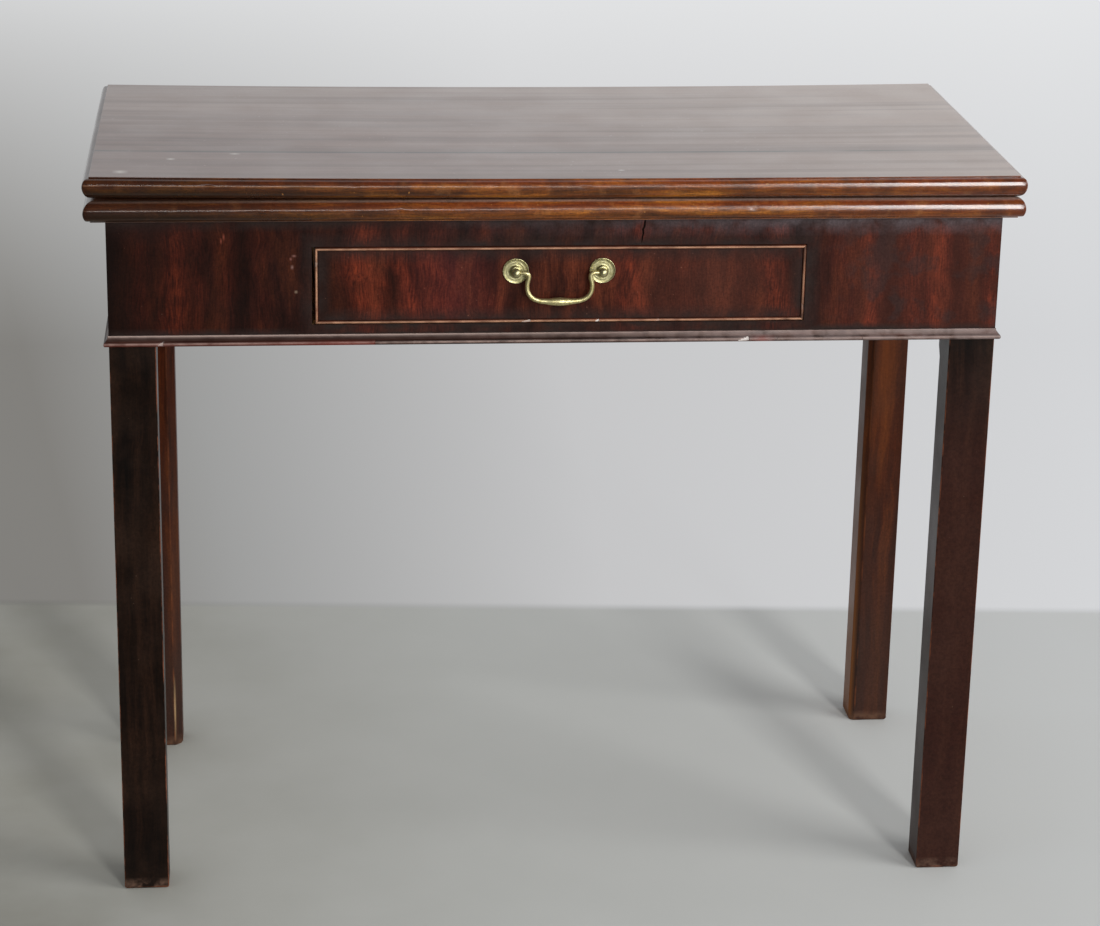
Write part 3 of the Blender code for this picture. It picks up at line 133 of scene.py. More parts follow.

# %% [markdown]
# ## A finish and its masks
# Marks on old furniture have places: dirt sits under the top and beside the beads, feet are
# scuffed, and shade falls under the top and round the drawer, where it is painted too. A
# material can know a place from object coordinates, which are metres on this table because
# every piece sits at the origin. A finish turns a place into a mask from 0 to 1, and lays a
# stain where its masks, multiplied together, allow it.

# %% Finish
class Finish:
    """A material under way: its colour and gloss are worked over before it is done."""

    def __init__(self, name, colour=None, **fixed):
        self.made = bpy.data.materials.new(name)
        self.made.use_nodes = True
        self.tree = self.made.node_tree
        self.shader = self.tree.nodes["Principled BSDF"]
        for key, value in fixed.items():
            self.shader.inputs[key.replace("_", " ")].default_value = value
        self.colour, self.gloss = colour, None
        self.here = self.add("TexCoord", take="Object")
        self.x, self.y, self.z = self.add("SeparateXYZ", {0: self.here}).node.outputs

    def add(self, kind, *inputs, **settings):
        return add(self.tree, kind, *inputs, **settings)

    def near(self, value, middle, reach):
        """1 where value is middle, falling to 0 at reach on either side."""
        off = self.add("Math", {0: value, 1: middle}, operation="SUBTRACT")
        away = self.add("Math", {0: off}, operation="ABSOLUTE")
        return self.add("MapRange", {"Value": away, "From Max": reach,
                                     "To Min": 1.0, "To Max": 0.0})

    def band(self, axis, middle_mm, half_mm):
        """1 on a plane across x, y or z, falling to 0 on either side of it."""
        return self.near(getattr(self, axis), middle_mm * MM, half_mm * MM)

    def fade(self, axis, start_mm, end_mm, least=0.0):
        """From least at start to 1 at end, along x, y or z."""
        return self.add("MapRange", {"Value": getattr(self, axis), "From Min": start_mm * MM,
                                     "From Max": end_mm * MM, "To Min": least})

    def blotches(self, size_mm, low, high, detail=3.0):
        """Soft irregular patches about size_mm across: 0 below low, 1 above high."""
        cloud = self.add("TexNoise", {"Vector": self.here, "Scale": 1 / (size_mm * MM),
                                      "Detail": detail})
        return self.add("MapRange", {"Value": cloud, "From Min": low, "From Max": high})

    def stain(self, over, *masks):
        self.colour = tint(self.tree, times(self.tree, *masks), self.colour, over)

    def spot(self, over, *masks, **places):
        """A mark at a known place: x, y and z give its middle and its half size in mm."""
        self.stain(over, *masks, *(self.band(axis, *place) for axis, place in places.items()))

    def dull(self, roughness, *masks):
        self.gloss = self.add("Mix", {"Factor": times(self.tree, *masks), "A": self.gloss,
                                      "B": roughness}, data_type="FLOAT")

    def relief(self, height, strength, deep_mm):
        bump = self.add("Bump", {"Strength": strength, "Distance": deep_mm * MM, "Height": height})
        self.tree.links.new(bump, self.shader.inputs["Normal"])

    def done(self):
        self.tree.links.new(self.colour, self.shader.inputs["Base Color"])
        if self.gloss is not None:
            self.tree.links.new(self.gloss, self.shader.inputs["Roughness"])
        return self.made


print("a finish can be:", [word for word in vars(Finish) if not word.startswith("_")])

# %% [markdown]
# ## How mahogany is drawn
# Real mahogany is a red-brown wood with three layers to see: broad ribbons of light and dark,
# finer streaks of fibre, and short dark pores. Each could be painted on a picture, but noise
# that is stretched along the grain gives all three at true size, on every face of a piece.
# The pores are 0.2 mm wide in the real wood; they are drawn 0.7 mm wide, or they'd not show.

# %% Wood
PORE_MM, PORE_LENGTH_MM = 0.7, 9.0
GLOSS_PATCH_MM = 60


def wood(name, grain, dark, middle, light, ribbon_mm=26, ribbon_run=9, fibre_mm=2.4,
         fibre_run=22, pores=0.5, rough=(0.34, 0.5), wander_mm=7, wander_size_mm=90,
         fibre_depth=0.22, shift=0.0, **fixed):
    """Planed wood with its grain along X, Y or Z; more layers can be put over its colour."""
    finish = Finish(name, **fixed)
    add_here = finish.add
    moved = add_here("VectorMath", {0: finish.here, 1: (shift, shift * 1.7, shift * 0.6)})
    drift = add_here("TexNoise", {"Vector": moved, "Scale": 1 / (wander_size_mm * MM),
                                  "Detail": 2.0}, take="Color")
    drift = add_here("VectorMath", {0: drift, 1: (0.5, 0.5, 0.5)}, operation="SUBTRACT")
    drift = add_here("VectorMath", {0: drift, 1: (wander_mm * 2 * MM,) * 3, 2: moved},
                     operation="MULTIPLY_ADD")

    def stretched(width_mm, run, **look):
        size = [1 / (width_mm * MM)] * 3
        size["XYZ".index(grain)] /= run
        squeezed = add_here("VectorMath", {0: drift, 1: tuple(size)}, operation="MULTIPLY")
        return add_here("TexNoise", {"Vector": squeezed, "Scale": 1.0, **look})

    ribbon = stretched(ribbon_mm, ribbon_run, Detail=3.0, Roughness=0.55)
    fibre = finish.fibre = stretched(fibre_mm, fibre_run, Detail=4.0, Roughness=0.6)
    pore = stretched(PORE_MM, PORE_LENGTH_MM / PORE_MM, Detail=1.0)
    pore = add_here("MapRange", {"Value": pore, "From Min": 0.60, "From Max": 0.72})
    finish.colour = add_here("ValToRGB", {"Fac": ribbon}, take="Color",
                             stops=[(0.33, dark), (0.66, light), (0.5, middle)])
    tone = add_here("MapRange", {"Value": fibre, "From Min": 0.3, "From Max": 0.7,
                                 "To Min": 1 - fibre_depth, "To Max": 1 + fibre_depth * 0.7})
    tone = add_here("CombineXYZ", {0: tone, 1: tone, 2: tone})
    finish.colour = tint(finish.tree, 1.0, finish.colour, tone, "MULTIPLY")
    finish.stain(dark, pore, pores)
    cloud = add_here("TexNoise", {"Vector": moved, "Scale": 1 / (GLOSS_PATCH_MM * MM),
                                  "Detail": 4.0})
    finish.gloss = add_here("MapRange", {"Value": cloud, "From Min": 0.3, "From Max": 0.7,
                                         "To Min": rough[0], "To Max": rough[1]})
    finish.relief(add_here("Math", {0: fibre, 1: pore}, operation="SUBTRACT"), 0.25, 0.10)
    return finish


print("pores are drawn", PORE_MM, "by", PORE_LENGTH_MM, "mm")

# %% [markdown]
# ## Worn arrises
# Old polish rubs off along every arris first, so the wood there is paler and redder. Blender's
# Pointiness could find edges, but it needs dense meshes. Here the arrises are real bevels, and
# their small faces carry an attribute called worn, which the material reads.

# %% Wear
def rub_arrises(finish, hex_colour, strength=0.8, patch_mm=14):
    worn = finish.add("Attribute", attribute_name="worn", take="Fac")
    masks = worn, finish.blotches(patch_mm, 0.42, 0.62), strength
    finish.stain(hex_colour, *masks)
    finish.dull(0.6, *masks)


def fleck(finish, size_mm, amount, hex_colour):
    """Small scattered nicks and specks; amount is how much of the surface they take."""
    finish.stain(hex_colour, finish.blotches(size_mm, 0.80 - amount, 0.84 - amount, 1.0))


def mottle(finish, size_mm, depth):
    """Make the colour a little lighter and darker in small soft patches."""
    cloud = finish.add("TexNoise", {"Vector": finish.here, "Scale": 1 / (size_mm * MM),
                                    "Detail": 4.0, "Roughness": 0.7})
    value = finish.add("MapRange", {"Value": cloud, "From Min": 0.35, "From Max": 0.65,
                                    "To Min": 1 - depth, "To Max": 1 + depth})
    value = finish.add("CombineXYZ", {0: value, 1: value, 2: value})
    finish.colour = tint(finish.tree, 1.0, finish.colour, value, "MULTIPLY")


print("wear: rubbed arrises, flecks and mottling")

# %% [markdown]
# ## Polished top
# French polish on solid mahogany: many thin rubbed coats of shellac over a dense wood. After
# two centuries it is a hazy grey-brown that mirrors the pale room softly. A clear coat over
# a duller base gives that double gloss. The two boards meet in a joint along the length.

# %% Finish of the top's upper face
BOARD_JOINT_MM = -98

top = wood("french_polished_mahogany_top", "X", "#5f473e", "#745a4f", "#82685c", ribbon_mm=17,
           ribbon_run=26, fibre_mm=2.6, fibre_run=34, fibre_depth=0.10, pores=0.30,
           rough=(0.30, 0.42), wander_mm=5, wander_size_mm=240, Coat_Weight=0.55,
           Coat_Roughness=0.16, Coat_IOR=1.5, IOR=1.5)
top.stain("#816c64", 0.40, top.fade("y", BOARD_JOINT_MM + 1, BOARD_JOINT_MM - 1))
# Painted light: the top is drawn paler toward the back and toward the right, where the mirrored
# wall and the light are brighter.
top.stain("#a8968c", 0.60, top.fade("y", -50, 210))
top.stain("#b09b8e", 0.55, top.fade("x", -100, 450))
streaks = top.add("VectorMath", {0: top.here, 1: (1.8, 62, 62)}, operation="MULTIPLY")
streaks = top.add("TexNoise", {"Vector": streaks, "Scale": 1.0, "Detail": 5.0})
streaks = top.add("MapRange", {"Value": streaks, "From Min": 0.48, "From Max": 0.66})
top.stain("#4c352e", 0.34, streaks)
top.spot("#4a342d", 0.45, y=(BOARD_JOINT_MM + 8, 20))
top.spot("#120a08", top.blotches(130, 0.28, 0.42), top.fade("x", 400, 300, 0.25),
         y=(BOARD_JOINT_MM, 4.5))
# Painted shade: the top is drawn a little darker toward its left end.
top.stain("#3c2a24", 0.13, top.fade("x", -180, -420))
top.dull(0.5, streaks, 0.2)
fleck(top, 3.0, 0.035, "#b5a79c")
for x, y, wide, deep in ((-415, -186, 8, 8), (-369, -131, 5, 5), (-308, -107, 6, 4),
                         (61, -174, 4, 3)):
    top.spot("#d8d2c8", 0.8, x=(x, wide), y=(y, deep))
mottle(top, 2.6, 0.05)
polished_top = top.done()
print("top finish:", polished_top.name)

# %% [markdown]
# ## Thumb-moulded edge and inner faces
# The moulded edges are bare of haze: hands and cloths keep them darker, redder and glossier,
# with a pale line along the nose, just above where it sticks out furthest, that is partly rubbed
# wood and partly a painted highlight. The seam between the leaves is darkened with painted
# shade. The playing faces were shut away from the light, so the wood there has kept a warmer
# colour.

# %% Finish of the moulded edges and of the playing faces
RUB_AND_HIGHLIGHT_ABOVE_FLAP_FOOT_MM, RUB_AND_HIGHLIGHT_BELOW_FIXED_HEAD_MM = 13.5, 8.2
END_GRAIN_X = (0.441, 0.446)     # where the nose of an end turns to end grain
flap_foot_mm, seam_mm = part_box("flap_leaf")[0].z / MM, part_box("fixed_leaf")[1].z / MM

edge = wood("rubbed_mahogany_edge", "X", "#471f05", "#7f400c", "#a86517", ribbon_mm=9,
            ribbon_run=11, fibre_mm=1.6, fibre_run=12, fibre_depth=0.58, pores=0.85,
            rough=(0.22, 0.36), wander_mm=4, shift=0.31, Coat_Weight=0.82, Coat_Roughness=0.165,
            Coat_IOR=1.6, IOR=1.5, Specular_IOR_Level=0.12)
rub_and_highlight_lines_mm = (flap_foot_mm + RUB_AND_HIGHLIGHT_ABOVE_FLAP_FOOT_MM, seam_mm - RUB_AND_HIGHLIGHT_BELOW_FIXED_HEAD_MM)
# Above each pale line the wood is stained redder; below it, painted shade darkens the
# downward-turned half of the nose.
for line_mm in rub_and_highlight_lines_mm:
    edge.spot("#6e2c14", 0.55, z=(line_mm + 4, 5))
    edge.spot("#543004", 0.45, z=(line_mm - 6, 6))
# Painted shade: the noses darken toward the left end, and most below the pale lines there.
left_end = edge.fade("x", -50, -360)
edge.stain("#200d04", 0.84, left_end)
for line_mm in rub_and_highlight_lines_mm:
    edge.spot("#120901", 0.7, left_end, z=(line_mm - 7, 7))
off_middle = edge.add("Math", {0: edge.x}, operation="ABSOLUTE")
end_grain = edge.add("MapRange", {"Value": off_middle, "From Min": END_GRAIN_X[0],
                                  "From Max": END_GRAIN_X[1]})
edge.stain("#2c1206", 0.45, end_grain)
edge.stain("#5c2412", 0.55, edge.fade("x", 160, 400))
rightward = edge.fade("x", -360, -50, 0.3)
edge.stain("#a06a3c", 0.25, edge.blotches(16, 0.58, 0.70), rightward)
edge.stain("#2c170d", 0.45, edge.blotches(28, 0.50, 0.66))
# The pale line along each nose is partly rubbed wood and partly a painted highlight.
rubbed = edge.add("Attribute", attribute_name="crest", take="Fac")
rubbed = edge.add("MapRange", {"Value": rubbed, "From Min": 0.45, "From Max": 0.95})
edge.stain("#ac7e5e", 0.75, rubbed, edge.blotches(22, 0.30, 0.52))
# Painted shade darkens the seam between the leaves; the pale grey line along the top of the lower
# nose is partly dust and partly painted light.
edge.spot("#1a0d07", 0.7, z=(seam_mm + 1.5, 3))
edge.spot("#9a8c84", 0.5, rightward, z=(seam_mm - 0.9, 1.4))
fleck(edge, 3.4, 0.03, "#93622f")
mottle(edge, 2.4, 0.22)
rubbed_edge = edge.done()

playing_face = wood("mahogany_playing_face", "X", "#54301f", "#6e432b", "#855638", ribbon_mm=20,
                    ribbon_run=20, fibre_depth=0.16, pores=0.4, rough=(0.34, 0.46), shift=0.77,
                    Coat_Weight=0.3, Coat_Roughness=0.2, IOR=1.5).done()
print("edge finishes:", rubbed_edge.name, playing_face.name)

# %% [markdown]
# ## Frieze veneer
# The frieze is faced with saw-cut veneer, its grain upright, under a dark old polish. Ribbons
# of orange-red show through where the figure is lively. Their places are listed in a short
# table; noise breaks them up. Under the top and round the drawer it is darker, partly with
# grime and partly with painted shade.

# %% Veneer
front_low, front_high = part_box("front_veneer")
drawer_low, drawer_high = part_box("drawer_front")
LEAN_ABOUT_Z, SWAY_MM, RIBBON_SOFTER = 0.632, 14, 1.7
# (place across in mm, half width in mm, strength) of the lively ribbons
RIBBONS = ((-399, 9, 0.45), (-363, 14, 0.95), (-343, 6, 0.5), (-318, 9, 0.30), (-287, 8, 0.2),
           (-186, 15, 1.0), (-146, 9, 0.9), (-117, 15, 0.7), (-72, 9, 0.35), (60, 10, 0.55),
           (76, 8, 0.85), (128, 30, 0.35), (176, 12, 0.3), (212, 12, 0.7), (277, 10, 0.3),
           (303, 7, 1.0), (345, 10, 0.75), (369, 9, 0.9), (423, 6, 0.9))


def veneer(name, dark="#170906", middle="#2d130d", light="#452012", **more):
    return wood(name, "Z", dark, middle, light, ribbon_mm=20, ribbon_run=6,
                fibre_mm=1.5, fibre_run=12, fibre_depth=0.40, pores=0.6, rough=(0.34, 0.50),
                wander_mm=9, wander_size_mm=70, IOR=1.42, Specular_IOR_Level=0.10,
                Coat_Weight=0.03, Coat_Roughness=0.22, **more)


def lay_ribbons(finish, leaning):
    """Orange-red ribbons at their places, broken up by noise; leaning shears them."""
    tree = finish.tree
    sway = finish.add("TexNoise", {"Vector": finish.here, "Scale": 1 / (38 * MM), "Detail": 3.0})
    sway = finish.add("MapRange", {"Value": sway, "From Max": 1.0, "To Min": -SWAY_MM * MM,
                                   "To Max": SWAY_MM * MM})
    lean = finish.add("Math", {0: finish.z, 1: LEAN_ABOUT_Z}, operation="SUBTRACT")
    x = finish.add("Math", {0: finish.x, 1: sway}, operation="ADD")
    x = finish.add("Math", {0: x, 1: times(tree, lean, leaning)}, operation="ADD")
    total = 0.0
    for middle, half, strength in RIBBONS:
        ribbon = finish.near(x, middle * MM, half * RIBBON_SOFTER * MM)
        total = most(tree, total, times(tree, ribbon, strength))
    broken = finish.add("MapRange", {"Value": finish.fibre, "From Min": 0.26, "From Max": 0.66})
    total = times(tree, total, broken, finish.blotches(40, 0.20, 0.60))
    finish.stain("#712a1b", total, 0.88)
    finish.stain("#903f21", total, total, 0.6)


def darken_with_grime_and_shade(finish):
    """Dark grey under the top, on the moulding and all round the drawer front: partly dirt and
    partly painted shade.
    """
    beyond = []
    for axis in "xz":
        low, high = getattr(drawer_low, axis), getattr(drawer_high, axis)
        off = finish.add("Math", {0: getattr(finish, axis), 1: (low + high) / 2},
                         operation="SUBTRACT")
        off = finish.add("Math", {0: off}, operation="ABSOLUTE")
        beyond.append(finish.add("Math", {0: off, 1: (high - low) / 2}, operation="SUBTRACT"))
    round_drawer = finish.near(most(finish.tree, *beyond), 0.0, 17 * MM)
    grime_and_shade = most(finish.tree, finish.band("z", front_high.z / MM, 11),
                 finish.band("z", front_low.z / MM, 7))
    patchy = finish.add("Math", {0: finish.blotches(20, 0.30, 0.60), 1: 0.45}, operation="ADD")
    grime_and_shade = times(finish.tree, most(finish.tree, grime_and_shade, round_drawer), patchy)
    finish.stain("#2a201d", grime_and_shade, 0.80)
    finish.dull(0.6, grime_and_shade, 0.7)


print("lively ribbons:", len(RIBBONS))

# %% Finish of the frieze and the drawer front
head_mm = front_high.z / MM
front = veneer("mahogany_veneer_front")
lay_ribbons(front, 0.0)
# Painted shade: the frieze darkens toward its left end, darkest at the very end. Painted light
# makes its right part paler, and the same mask places charcoal smudges there.
front.stain("#170a06", 0.76, front.fade("x", -200, -430))
front.spot("#0d0604", 1.0, x=(-446, 50))
right_light_and_smudges = front.fade("x", 240, 300)
front.stain("#54291e", 0.34, right_light_and_smudges)
front.stain("#2c2423", 0.5, front.blotches(24, 0.50, 0.60, 5.0), right_light_and_smudges)
darken_with_grime_and_shade(front)
front.spot("#5c5255", 0.68, front.blotches(14, 0.25, 0.60, 5.0), front.fade("x", -160, 260),
           z=(head_mm - 3, 15))
for x, wide in ((-150, 80), (-390, 70)):
    front.spot("#271612", 0.65, x=(x, wide), z=(head_mm - 9, 18))
mottle(front, 2.2, 0.20)
fleck(front, 2.4, 0.008, "#6a4c40")
# (across, height, half width, half height) in mm of the flecks and scratches that show most
for x, z, wide, tall, tone in ((-254.8, 651, 1.8, 2.6, "#8f7068"), (-251.3, 626.6, 2, 2, "#93806c"),
                               (-319, 681, 1.3, 4, "#8a4838"), (-321.5, 677, 1.3, 3.5, "#8a4838"),
                               (-253, 662, 2.8, 1.6, "#8a625a"), (-256, 659, 1.6, 2, "#8a5a52")):
    front.spot(tone, 0.7, x=(x, wide), z=(z, tall))
rub_arrises(front, "#6d3423")
veneer_front = front.done()

drawer = veneer("mahogany_veneer_drawer", "#210d08", "#3c1a10", "#5b2a19", shift=0.013)
lay_ribbons(drawer, 0.35)
for tone, strength, x, wide in (("#1b0c07", 0.8, -224, 34), ("#4a2229", 0.28, -100, 60),
                                ("#46271e", 0.65, 150, 100)):
    drawer.spot(tone, strength, x=(x, wide))
darken_with_grime_and_shade(drawer)
mottle(drawer, 2.2, 0.20)
fleck(drawer, 2.2, 0.010, "#75503f")
veneer_drawer = drawer.done()

ends = veneer("mahogany_veneer_ends", shift=0.41)
darken_with_grime_and_shade(ends)
mottle(ends, 2.2, 0.20)
rub_arrises(ends, "#6d3423")
veneer_ends = ends.done()
print("veneers:", veneer_front.name, veneer_drawer.name, veneer_ends.name)

# %% [markdown]
# ## Legs
# The front legs are solid dark mahogany, nearly black at the front, with a rubbed lighter
# band where feet and mops have caught them. The rear legs are paler, orange-brown wood.

# %% Finish of the legs and of the gate
def scuff_feet(finish, hex_colour, band_mm=10):
    low = finish.fade("z", band_mm + 3, band_mm - 4)
    finish.stain(hex_colour, low, finish.blotches(9, 0.35, 0.6), 0.8)
    finish.dull(0.65, low)


leg = wood("dark_polished_mahogany_leg", "Z", "#0b0604", "#160c07", "#24150d", ribbon_mm=13,
           ribbon_run=16, fibre_mm=1.8, fibre_run=22, fibre_depth=0.32, pores=0.6,
           rough=(0.28, 0.42), shift=0.19, IOR=1.45, Coat_Weight=0.03, Coat_Roughness=0.18,
           Specular_IOR_Level=0.12)
leg.stain("#34241b", 0.35, leg.blotches(75, 0.46, 0.66))
leg.stain("#43231b", 0.42, leg.fade("z", 570, 450), leg.fade("x", 0, 300))
scuff_feet(leg, "#5b4438")
rub_arrises(leg, "#74422c", 0.8)
mottle(leg, 2.6, 0.24)
fleck(leg, 3.0, 0.022, "#6c5648")
dark_leg = leg.done()

gate_low_mm, gate_high_mm = (corner.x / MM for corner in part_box("gate_leg"))
gate = wood("orange_brown_mahogany_gate", "Z", "#2b0e02", "#461b05", "#602d0a", ribbon_mm=12,
            ribbon_run=18, fibre_mm=1.9, fibre_run=22, fibre_depth=0.26, pores=0.5,
            rough=(0.30, 0.46), shift=0.53, IOR=1.47, Coat_Weight=0.03, Coat_Roughness=0.2,
            Specular_IOR_Level=0.12)
gate.stain("#3a241a", 0.45, gate.blotches(110, 0.46, 0.66))
lower_down = gate.fade("z", 420, 100)
gate.stain("#332722", 0.66, lower_down)
mottle(gate, 2.6, 0.18)
gate.spot("#80400e", 0.4, x=((gate_low_mm + gate_high_mm) / 2 - 2, 14), z=(560, 300))
gate.spot("#8a5428", 0.7, lower_down, x=(gate_low_mm, 5))
scuff_feet(gate, "#5d4232")
rub_arrises(gate, "#7c4424", 0.4, 24)
# Painted shade on the chamfer down the left of the gate leg.
gate.spot("#1f0e06", 0.75, x=(gate_low_mm + 6, 5), z=(470, 300))
gate.spot("#31160a", 0.4, x=(gate_high_mm, 9))
gate.spot("#c2a074", 0.75, x=(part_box("rear_leg_left")[1].x / MM - 8, 1.4), z=(45, 42))
gate_leg_wood = gate.done()

fly = wood("mahogany_fly_rail", "X", "#4a2512", "#693719", "#824a24", ribbon_mm=18, ribbon_run=16,
           fibre_depth=0.22, pores=0.5, rough=(0.45, 0.6), shift=0.87, IOR=1.47)
rub_arrises(fly, "#946038", 0.7)
fly_wood = fly.done()
print("legs:", dark_leg.name, gate_leg_wood.name, fly_wood.name)

# %% [markdown]
# ## Beads and moulding
# Thin lipping round the drawer and the moulding under the frieze are long-grain mahogany
# strips. Their rounded tops are rubbed down to pinkish bare wood, and a painted highlight is
# laid along them as well, so they draw light lines.

# %% Finish of the beads and the moulding
def strip_wood(name, grain, shift, dark, middle, light, rub_and_highlight_tone):
    """A strip's points carry crest, how pale they are drawn, partly for rubbed wear and partly as a
    painted highlight, and its faces carry chipped.
    """
    finish = wood(name, grain, dark, middle, light, ribbon_mm=5, ribbon_run=12, fibre_mm=0.9,
                  fibre_run=14, fibre_depth=0.3, pores=0.5, rough=(0.34, 0.50), shift=shift,
                  wander_mm=2, IOR=1.47, Specular_IOR_Level=0.2)
    patchy = finish.add("TexNoise", {"Vector": finish.here, "Scale": 1 / (11 * MM), "Detail": 3.0})
    patchy = finish.add("MapRange", {"Value": patchy, "From Min": 0.32, "From Max": 0.62,
                                     "To Min": 0.35})
    finish.stain(rub_and_highlight_tone, finish.add("Attribute", attribute_name="crest", take="Fac"), patchy)
    finish.stain("#e2dbd4", finish.add("Attribute", attribute_name="chipped", take="Fac"))
    return finish


BEAD_TONES = ("#2a130c", "#482216", "#643222", "#b98a6c")
LIP_TONES = ("#1e130f", "#33201a", "#4a2f27", "#9d857b")
bead_upright = strip_wood("mahogany_bead_upright", "Z", 0.21, *BEAD_TONES)
bead_upright.stain("#3a231b", 0.9, bead_upright.fade("x", 0, 100),
                   bead_upright.blotches(22, 0.30, 0.55))
bead_upright = bead_upright.done()
bead_level = strip_wood("mahogany_bead_level", "X", 0.45, *BEAD_TONES).done()

lip = strip_wood("mahogany_moulding_level", "X", 0.63, *LIP_TONES)
lip_foot_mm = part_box("moulding_front")[0].z / MM
at_left = lip.fade("x", 150, -150)
lip.spot("#7c2a1c", 0.30, lip.fade("x", -175.5, -176.5), z=(lip_foot_mm + 1, 5))
lip.spot("#7c2218", 0.5, lip.fade("x", -175.5, -176.5), x=(-205, 95), z=(lip_foot_mm + 1, 5))
lip.spot("#7a2415", 0.9, x=(198.5, 14), z=(lip_foot_mm + 2, 5))
# Painted shade darkens the cove on the left half, and a painted highlight draws a pale line along
# the top arris there.
lip.spot("#28140e", 0.9, at_left, z=(lip_foot_mm + 6.4, 3.4))
lip.spot("#a8938a", 0.75, at_left, z=(lip_foot_mm + 9.7, 1.6))
# Painted light: the moulding is drawn paler and greyer in patches toward the right.
lip.stain("#8d7c78", 0.42, lip.fade("x", 20, 220), lip.blotches(12, 0.3, 0.55))
lip_level = lip.done()
lip_side = strip_wood("mahogany_moulding_side", "Y", 0.83, *LIP_TONES).done()
print("strips:", bead_upright.name, bead_level.name, lip_level.name)

# %% [markdown]
# ## Secondary woods
# What doesn't show is made of cheaper wood, left from the plane: pine for the rails and the
# runners, oak for the drawer's sides and bottom. Both are dry, unpolished and grey with age.

# %% Finishes of the carcase and the drawer box
def bare_wood(name, grain, dark, middle, light, shift, **more):
    finish = wood(name, grain, dark, middle, light, rough=(0.62, 0.8), shift=shift, **more)
    rub_arrises(finish, "#5a4634", 0.6)
    fleck(finish, 5.0, 0.0, "#4a3626")
    return finish.done()


PINE = {"pores": 0.1, "ribbon_mm": 9, "ribbon_run": 22}
pine_along = bare_wood("planed_pine_length", "X", "#7d5a34", "#9c7748", "#b08a58", 0.09, **PINE)
pine_deep = bare_wood("planed_pine_depth", "Y", "#7a5832", "#967145", "#ab8554", 0.27, **PINE)
oak_along = bare_wood("planed_oak_length", "X", "#6b4f30", "#8a6a42", "#9d7d52", 0.39, pores=0.6)
oak_deep = bare_wood("planed_oak_depth", "Y", "#6b4f30", "#886840", "#9a7a50", 0.58, pores=0.6)
print("bare woods:", pine_along.name, oak_along.name)

# %% [markdown]
# ## Brass and iron
# The handle is cast yellow brass, once lacquered, now dull gold with brown in its hollows;
# its bail is a brighter brass, partly because fingers keep it brighter and partly as painted
# light. The screws and the knuckle pin are iron, dark and matt. A metal keeps the default IOR.

# %% Metals
GRIT_MM = 1.6


def metal(name, base, worn_colour, roughness, spread, tarnish_mm=4):
    finish = Finish(name, base, Metallic=1.0)
    cloud = finish.blotches(tarnish_mm, 0.45, 0.68)
    finish.stain(worn_colour, 0.6, cloud)
    finish.stain(worn_colour, 0.55, finish.add("Attribute", attribute_name="hollow", take="Fac"))
    finish.gloss = finish.add("MapRange", {"Value": cloud, "To Min": roughness,
                                           "To Max": roughness + spread})
    grit = finish.add("TexNoise", {"Vector": finish.here, "Scale": 1 / (GRIT_MM * MM),
                                   "Detail": 3.0})
    finish.relief(grit, 0.06, 0.05)
    return finish.done()


cast_brass = metal("cast_yellow_brass", "#d6cfa0", "#8a8350", 0.38, 0.10)
# The bail's brighter brass is partly handling and partly painted light.
handled_and_painted_bright_brass = metal("handled_and_painted_bright_yellow_brass", "#e8dda6", "#ac9f5c", 0.43, 0.08)
hinge_brass = metal("aged_hinge_brass", "#b09a5c", "#6a552c", 0.34, 0.2, 6)
iron = metal("dark_wrought_iron", "#4b4641", "#3b2a20", 0.5, 0.25, 2)
print("metals:", cast_brass.name, handled_and_painted_bright_brass.name, hinge_brass.name, iron.name)

# %% [markdown]
# ## Baize
# Baize is a felted woollen cloth. Its nap hides the weave, catches light at a low angle and
# is rubbed lighter where cards were dealt. Sheen gives the soft rim, noise the lint.

# %% Felt
NAP_MM = 0.8

felt = Finish("green_woollen_baize", Sheen_Weight=0.35, Sheen_Roughness=0.5, Roughness=0.95,
              Specular_IOR_Level=0.2)
lint = felt.add("TexNoise", {"Vector": felt.here, "Scale": 1 / (NAP_MM * MM), "Detail": 4.0})
felt.colour = felt.add("ValToRGB", {"Fac": lint}, take="Color",
                       stops=[(0.3, "#1d3a24"), (0.7, "#345a38")])
felt.stain("#5a6f46", 0.35, felt.blotches(120, 0.42, 0.72))
felt.relief(lint, 0.5, 0.3)
green_baize = felt.done()
print("cloth:", green_baize.name)

# %% [markdown]
# ## Helpers for shapes
# A maker never leaves an arris sharp. `eased` copies a packed piece, joins its triangles back
# into flat faces, bevels every arris a little and marks the bevels as worn. A turned piece is a
# profile spun about a line, and a tool that cuts a hole is a solid taken away by a Boolean.

# %% Solids
X, Y, Z = Vector((1, 0, 0)), Vector((0, 1, 0)), Vector((0, 0, 1))
PLANED_AREA = 100 * MM * MM
made_pieces = []


def solid(name, mesh_data, *materials):
    """A bmesh becomes an object at the origin, its faces pointing out."""
    bmesh.ops.recalc_face_normals(mesh_data, faces=mesh_data.faces)
    mesh = bpy.data.meshes.new(name)
    mesh_data.to_mesh(mesh)
    mesh_data.free()
    obj = bpy.data.objects.new(name, mesh)
    bpy.context.scene.collection.objects.link(obj)
    for material in materials:
        mesh.materials.append(material)
    return obj


def packed_copy(node, name, material, flat=True):
    """A packed piece as a mesh of its own, its triangles joined back into flat faces."""
    mesh_data = bmesh.new()
    mesh_data.from_mesh(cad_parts[node].data)
    bmesh.ops.remove_doubles(mesh_data, verts=mesh_data.verts, dist=0.01 * MM)
    if flat:
        bmesh.ops.dissolve_limit(mesh_data, angle_limit=math.radians(0.5), verts=mesh_data.verts,
                                 edges=mesh_data.edges)
    return solid(name, mesh_data, material)


